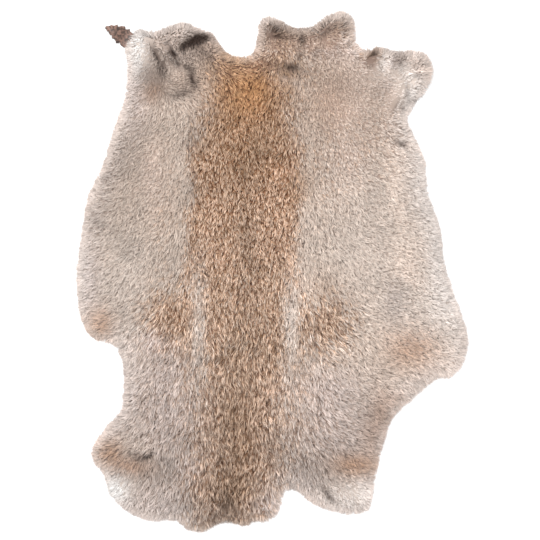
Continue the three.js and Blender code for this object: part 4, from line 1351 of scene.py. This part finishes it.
def guard_hairs(rng, sizes, tufts):
    """The hairs of the tufts: their arrays by name, their coat and the tuft that owns each. Roots fill a
    disc around the tuft's place, and a hair rises to its bend and leans on to its tip."""
    place = tufts.place
    owner = np.repeat(np.arange(len(place.inset)), sizes.tuft_hairs)
    total = len(owner)
    radius = sizes.tuft_radius / MM * np.sqrt(rng.random(total))
    bearing = rng.uniform(0, 2 * np.pi, total)
    offset = radius[:, None] * np.stack([np.cos(bearing), np.sin(bearing)], axis=-1)
    flow = heading(tufts.angle[owner] + rng.normal(0, GUARD_STRAY, total))
    reach = tufts.run[owner] + rng.normal(0, GUARD_REACH_SPREAD, total)
    root = place.points[owner] + offset
    tip = place.points[owner] + GUARD_TIP_SHARE * offset + reach[:, None] * flow
    root_depth = np.maximum(place.inset[owner] - (offset * place.outwards[owner]).sum(axis=-1), 0)
    tip, tip_depth = held_in(tip, pelt_ribs(0), GUARD_PAST_RIM)
    tip_depth = np.maximum(tip_depth, 0)
    bend_at = GUARD_MIDDLE + rng.normal(0, GUARD_MIDDLE_SPREAD, total)
    middle = root + bend_at[:, None] * (tip - root)
    middle_depth = np.maximum((1 - GUARD_MIDDLE) * root_depth + GUARD_MIDDLE * tip_depth, 0)
    share = tufts.height[owner] * rng.uniform(*GUARD_HEIGHT, total)
    root_height = skin_height(root, root_depth) + ROOT_LIFT
    tip_height = np.maximum(fur_height(tip, tip_depth) * share, root_height)
    middle_height = root_height + GUARD_BEND * (fur_height(middle, middle_depth) * share - root_height)
    hairs = {
        "root": raised(root, root_height),
        "middle": raised(middle, middle_height),
        "tip": raised(tip, tip_height),
        "width": sizes.hair_width / MM * rng.uniform(*WIDTHS, total),
        "turn": rng.uniform(0, 2 * np.pi, total),
        "tone": np.clip(tufts.tone[owner] + rng.normal(0, GUARD_TONE_SPREAD, total), 0, 1),
    }
    bold = BOLD * tufts.ticked_tail[owner] * (0.5 - hairs["tone"])
    hairs["middle_shade"] = np.clip(coat_at(middle, middle_depth)["shade"] + bold, LIGHTEST, 1)
    coat = speckled(coat_at(tip, tip_depth), tufts.dice[owner])
    coat["shade"] = np.clip(coat["shade"] + bold, LIGHTEST, 1)
    return hairs, coat, owner


class PELT_OT_guard_fur(bpy.types.Operator):
    """Adds the guard hair of the left flank, the back and the right flank, tuft by tuft"""
    bl_idname = "pelt.guard_fur"
    bl_label = "Guard hair"

    def execute(self, context):
        sizes, _ = settings()
        rng = np.random.default_rng(sizes.seed + 1)
        tufts = guard_tufts(rng, sizes)
        hairs, coat, owner = guard_hairs(rng, sizes, tufts)
        points = tufts.place.points
        side = points[:, 0] - BACK_LINE[1] * points[:, 1]
        edges = np.quantile(side, (1 / 3, 2 / 3))
        part = np.searchsorted(edges, side)[owner]
        for number, name in enumerate(GUARD_PIECES):
            mine = part == number
            own_coat = {tint: weights[mine] for tint, weights in coat.items()}
            own_hairs = {key: values[mine] for key, values in hairs.items()}
            add_hairs(name, coat=own_coat, material=fur_finish("rabbit guard hair"), **own_hairs)
        return {"FINISHED"}


class PELT_OT_rim_fur(bpy.types.Operator):
    """Adds the hair around the rim, which lies low and reaches past the skin"""
    bl_idname = "pelt.rim_fur"
    bl_label = "Rim hair"

    def execute(self, context):
        sizes, _ = settings()
        rng = np.random.default_rng(sizes.seed + 2)
        inset = sizes.skin_inset / MM
        lock_count = sizes.rim_hairs // LOCK_HAIRS
        lock_rib = np.sort(rng.uniform(0, RIB_COUNT, lock_count))
        lock_step = rng.uniform(*LOCK_STEPS, lock_count)
        locks = on_ribs(pelt_ribs(inset), lock_rib, lock_step)
        depth = locks.inset + inset
        angle = fur_flow(locks.points, LOCK_DEPTH_SHARE * depth, locks.outwards, LOCK_PULL)
        angle = angle + rng.normal(0, LOCK_STRAY, lock_count)
        goal = rng.normal(*LOCK_GOAL, lock_count)
        tone = np.clip(rng.normal(*LOCK_TONE, lock_count), 0, 1)

        owner = np.repeat(np.arange(lock_count), LOCK_HAIRS)
        total = len(owner)
        outwards = locks.outwards[owner]
        offset = rng.normal(0, RIM_ROOT_SPREAD, (total, 2))
        flow = heading(angle[owner] + rng.normal(0, RIM_STRAY, total))
        facing = np.maximum((flow * outwards).sum(axis=-1), RIM_LEAST_FACING)
        reach = depth[owner] + goal[owner] + rng.normal(0, RIM_REACH_SPREAD, total)
        reach = np.clip(reach / facing, *RIM_REACH)
        root = locks.points[owner] + offset
        tip = locks.points[owner] + RIM_TIP_SHARE * offset + reach[:, None] * flow
        tip, tip_depth = held_in(tip, pelt_ribs(0), RIM_PAST)
        root_depth = np.maximum(depth[owner] - (offset * outwards).sum(axis=-1), 0)
        middle = root + RIM_MIDDLE * (tip - root)
        middle_depth = np.maximum((1 - RIM_MIDDLE) * root_depth + RIM_MIDDLE * tip_depth, 0)
        coat = coat_at(tip, tip_depth)
        # dull is painted shade: it darkens the rim hair at rims against the lie, where the flat-lying hair
        # would catch more light than the fur inside.
        dull = RIM_PAINTED_SHADE * rim_against(Place(root, LOCK_DEPTH_SHARE * root_depth, outwards))
        share = rng.uniform(*RIM_HEIGHT, total)
        root_height = skin_height(root, root_depth) + RIM_ROOT_LIFT
        tip_foot = flesh_height(tip) + RIM_TIP_LIFT
        tip_height = tip_foot + share * (fur_height(tip, np.maximum(tip_depth, 0)) - tip_foot)
        middle_height = root_height + RIM_BEND * share * (fur_height(middle, middle_depth) - root_height)
        add_hairs(
            "rim_fur",
            raised(root, root_height),
            raised(middle, middle_height),
            raised(tip, tip_height),
            sizes.hair_width / MM * rng.uniform(*WIDTHS, total),
            rng.uniform(0, 2 * np.pi, total),
            np.clip(tone[owner] + rng.normal(0, RIM_TONE_SPREAD, total), 0, 1),
            {**coat, "shade": np.minimum(coat["shade"] + dull, 1)},
            np.minimum(coat_at(middle, middle_depth)["shade"] + dull, 1),
            fur_finish("rabbit guard hair"),
        )
        return {"FINISHED"}


class PELT_OT_declare(bpy.types.Operator):
    """Does nothing: it neither declares the skin nor gives its flat size"""
    bl_idname = "pelt.declare"
    bl_label = "Flat size"

    def execute(self, context):
        return {"FINISHED"}


class PELT_OT_stage(bpy.types.Operator):
    """Adds the pale floor, the soft lights and the camera straight above the pelt"""
    bl_idname = "pelt.stage"
    bl_label = "Stage"

    def execute(self, context):
        scene = context.scene
        scene.view_settings.view_transform = "Standard"
        floor = bpy.data.meshes.new("floor")
        level, reach = CAD_LOW.z - FLOOR_GAP, FLOOR_REACH
        floor.from_pydata([(-reach, -reach, level), (reach, -reach, level), (reach, reach, level),
                           (-reach, reach, level)], [], [(0, 1, 2, 3)])
        floor_piece = bpy.data.objects.new("floor", floor)
        scene.collection.objects.link(floor_piece)
        paint = bpy.data.materials.new("white painted board")
        paint.use_nodes = True
        shader = paint.node_tree.nodes["Principled BSDF"]
        shader.inputs["Base Color"].default_value = (*linear("#fbfbfb"), 1)
        shader.inputs["Roughness"].default_value = 0.9
        shader.inputs["Specular IOR Level"].default_value = 0.1
        floor.materials.append(paint)

        world = bpy.data.worlds.new("soft room")
        world.use_nodes = True
        background = world.node_tree.nodes["Background"]
        background.inputs["Color"].default_value = (1, 1, 1, 1)
        background.inputs["Strength"].default_value = ROOM_LIGHT
        scene.world = world
        for lamp in LAMPS:
            light = bpy.data.lights.new(lamp.name, "AREA")
            light.size = lamp.size
            light.energy = lamp.power
            light_object = bpy.data.objects.new(lamp.name, light)
            light_object.location = lamp.at
            light_object.rotation_euler = (-Vector(lamp.at)).to_track_quat("-Z", "Y").to_euler()
            scene.collection.objects.link(light_object)

        camera = bpy.data.cameras.new("camera")
        camera_object = bpy.data.objects.new("camera", camera)
        camera_object.location = CAMERA_AT
        camera.sensor_width = SENSOR_WIDTH
        camera.lens = SENSOR_WIDTH * (CAMERA_AT[2] - FUR_TOP) / FRAME_WIDTH
        camera.clip_end = CAMERA_REACH
        scene.collection.objects.link(camera_object)
        scene.camera = camera_object
        return {"FINISHED"}


class PELT_PT_panel(bpy.types.Panel):
    """Lists the pieces of the pelt with their sizes and colours"""
    bl_idname = "PELT_PT_panel"
    bl_label = "Rabbit pelt"
    bl_space_type = "VIEW_3D"
    bl_region_type = "UI"
    bl_category = "Pelt"

    def draw(self, context):
        for operator in OPERATORS:
            self.layout.operator(operator.bl_idname)
        for group in (context.scene.pelt_sizes, context.scene.pelt_colours):
            for key in group.bl_rna.properties.keys():
                if key not in ("rna_type", "name"):
                    self.layout.prop(group, key)


OPERATORS = (PELT_OT_skin, PELT_OT_wool, PELT_OT_underfur, PELT_OT_guard_fur, PELT_OT_rim_fur,
             PELT_OT_declare, PELT_OT_stage)
CLASSES = (PeltSizes, PeltColours, *OPERATORS, PELT_PT_panel)


def register():
    """Registers the classes and puts the sizes and colours on the scene."""
    for cls in CLASSES:
        bpy.utils.register_class(cls)
    bpy.types.Scene.pelt_sizes = PointerProperty(type=PeltSizes)
    bpy.types.Scene.pelt_colours = PointerProperty(type=PeltColours)


def unregister():
    """Takes the sizes and colours off the scene and unregisters the classes."""
    del bpy.types.Scene.pelt_sizes
    del bpy.types.Scene.pelt_colours
    for cls in reversed(CLASSES):
        bpy.utils.unregister_class(cls)


def main():
    """Builds every piece and the stage."""
    register()
    bpy.ops.pelt.skin()
    bpy.ops.pelt.wool()
    bpy.ops.pelt.underfur()
    bpy.ops.pelt.guard_fur()
    bpy.ops.pelt.rim_fur()
    bpy.ops.pelt.declare()
    bpy.ops.pelt.stage()


if __name__ == "__main__":
    main()
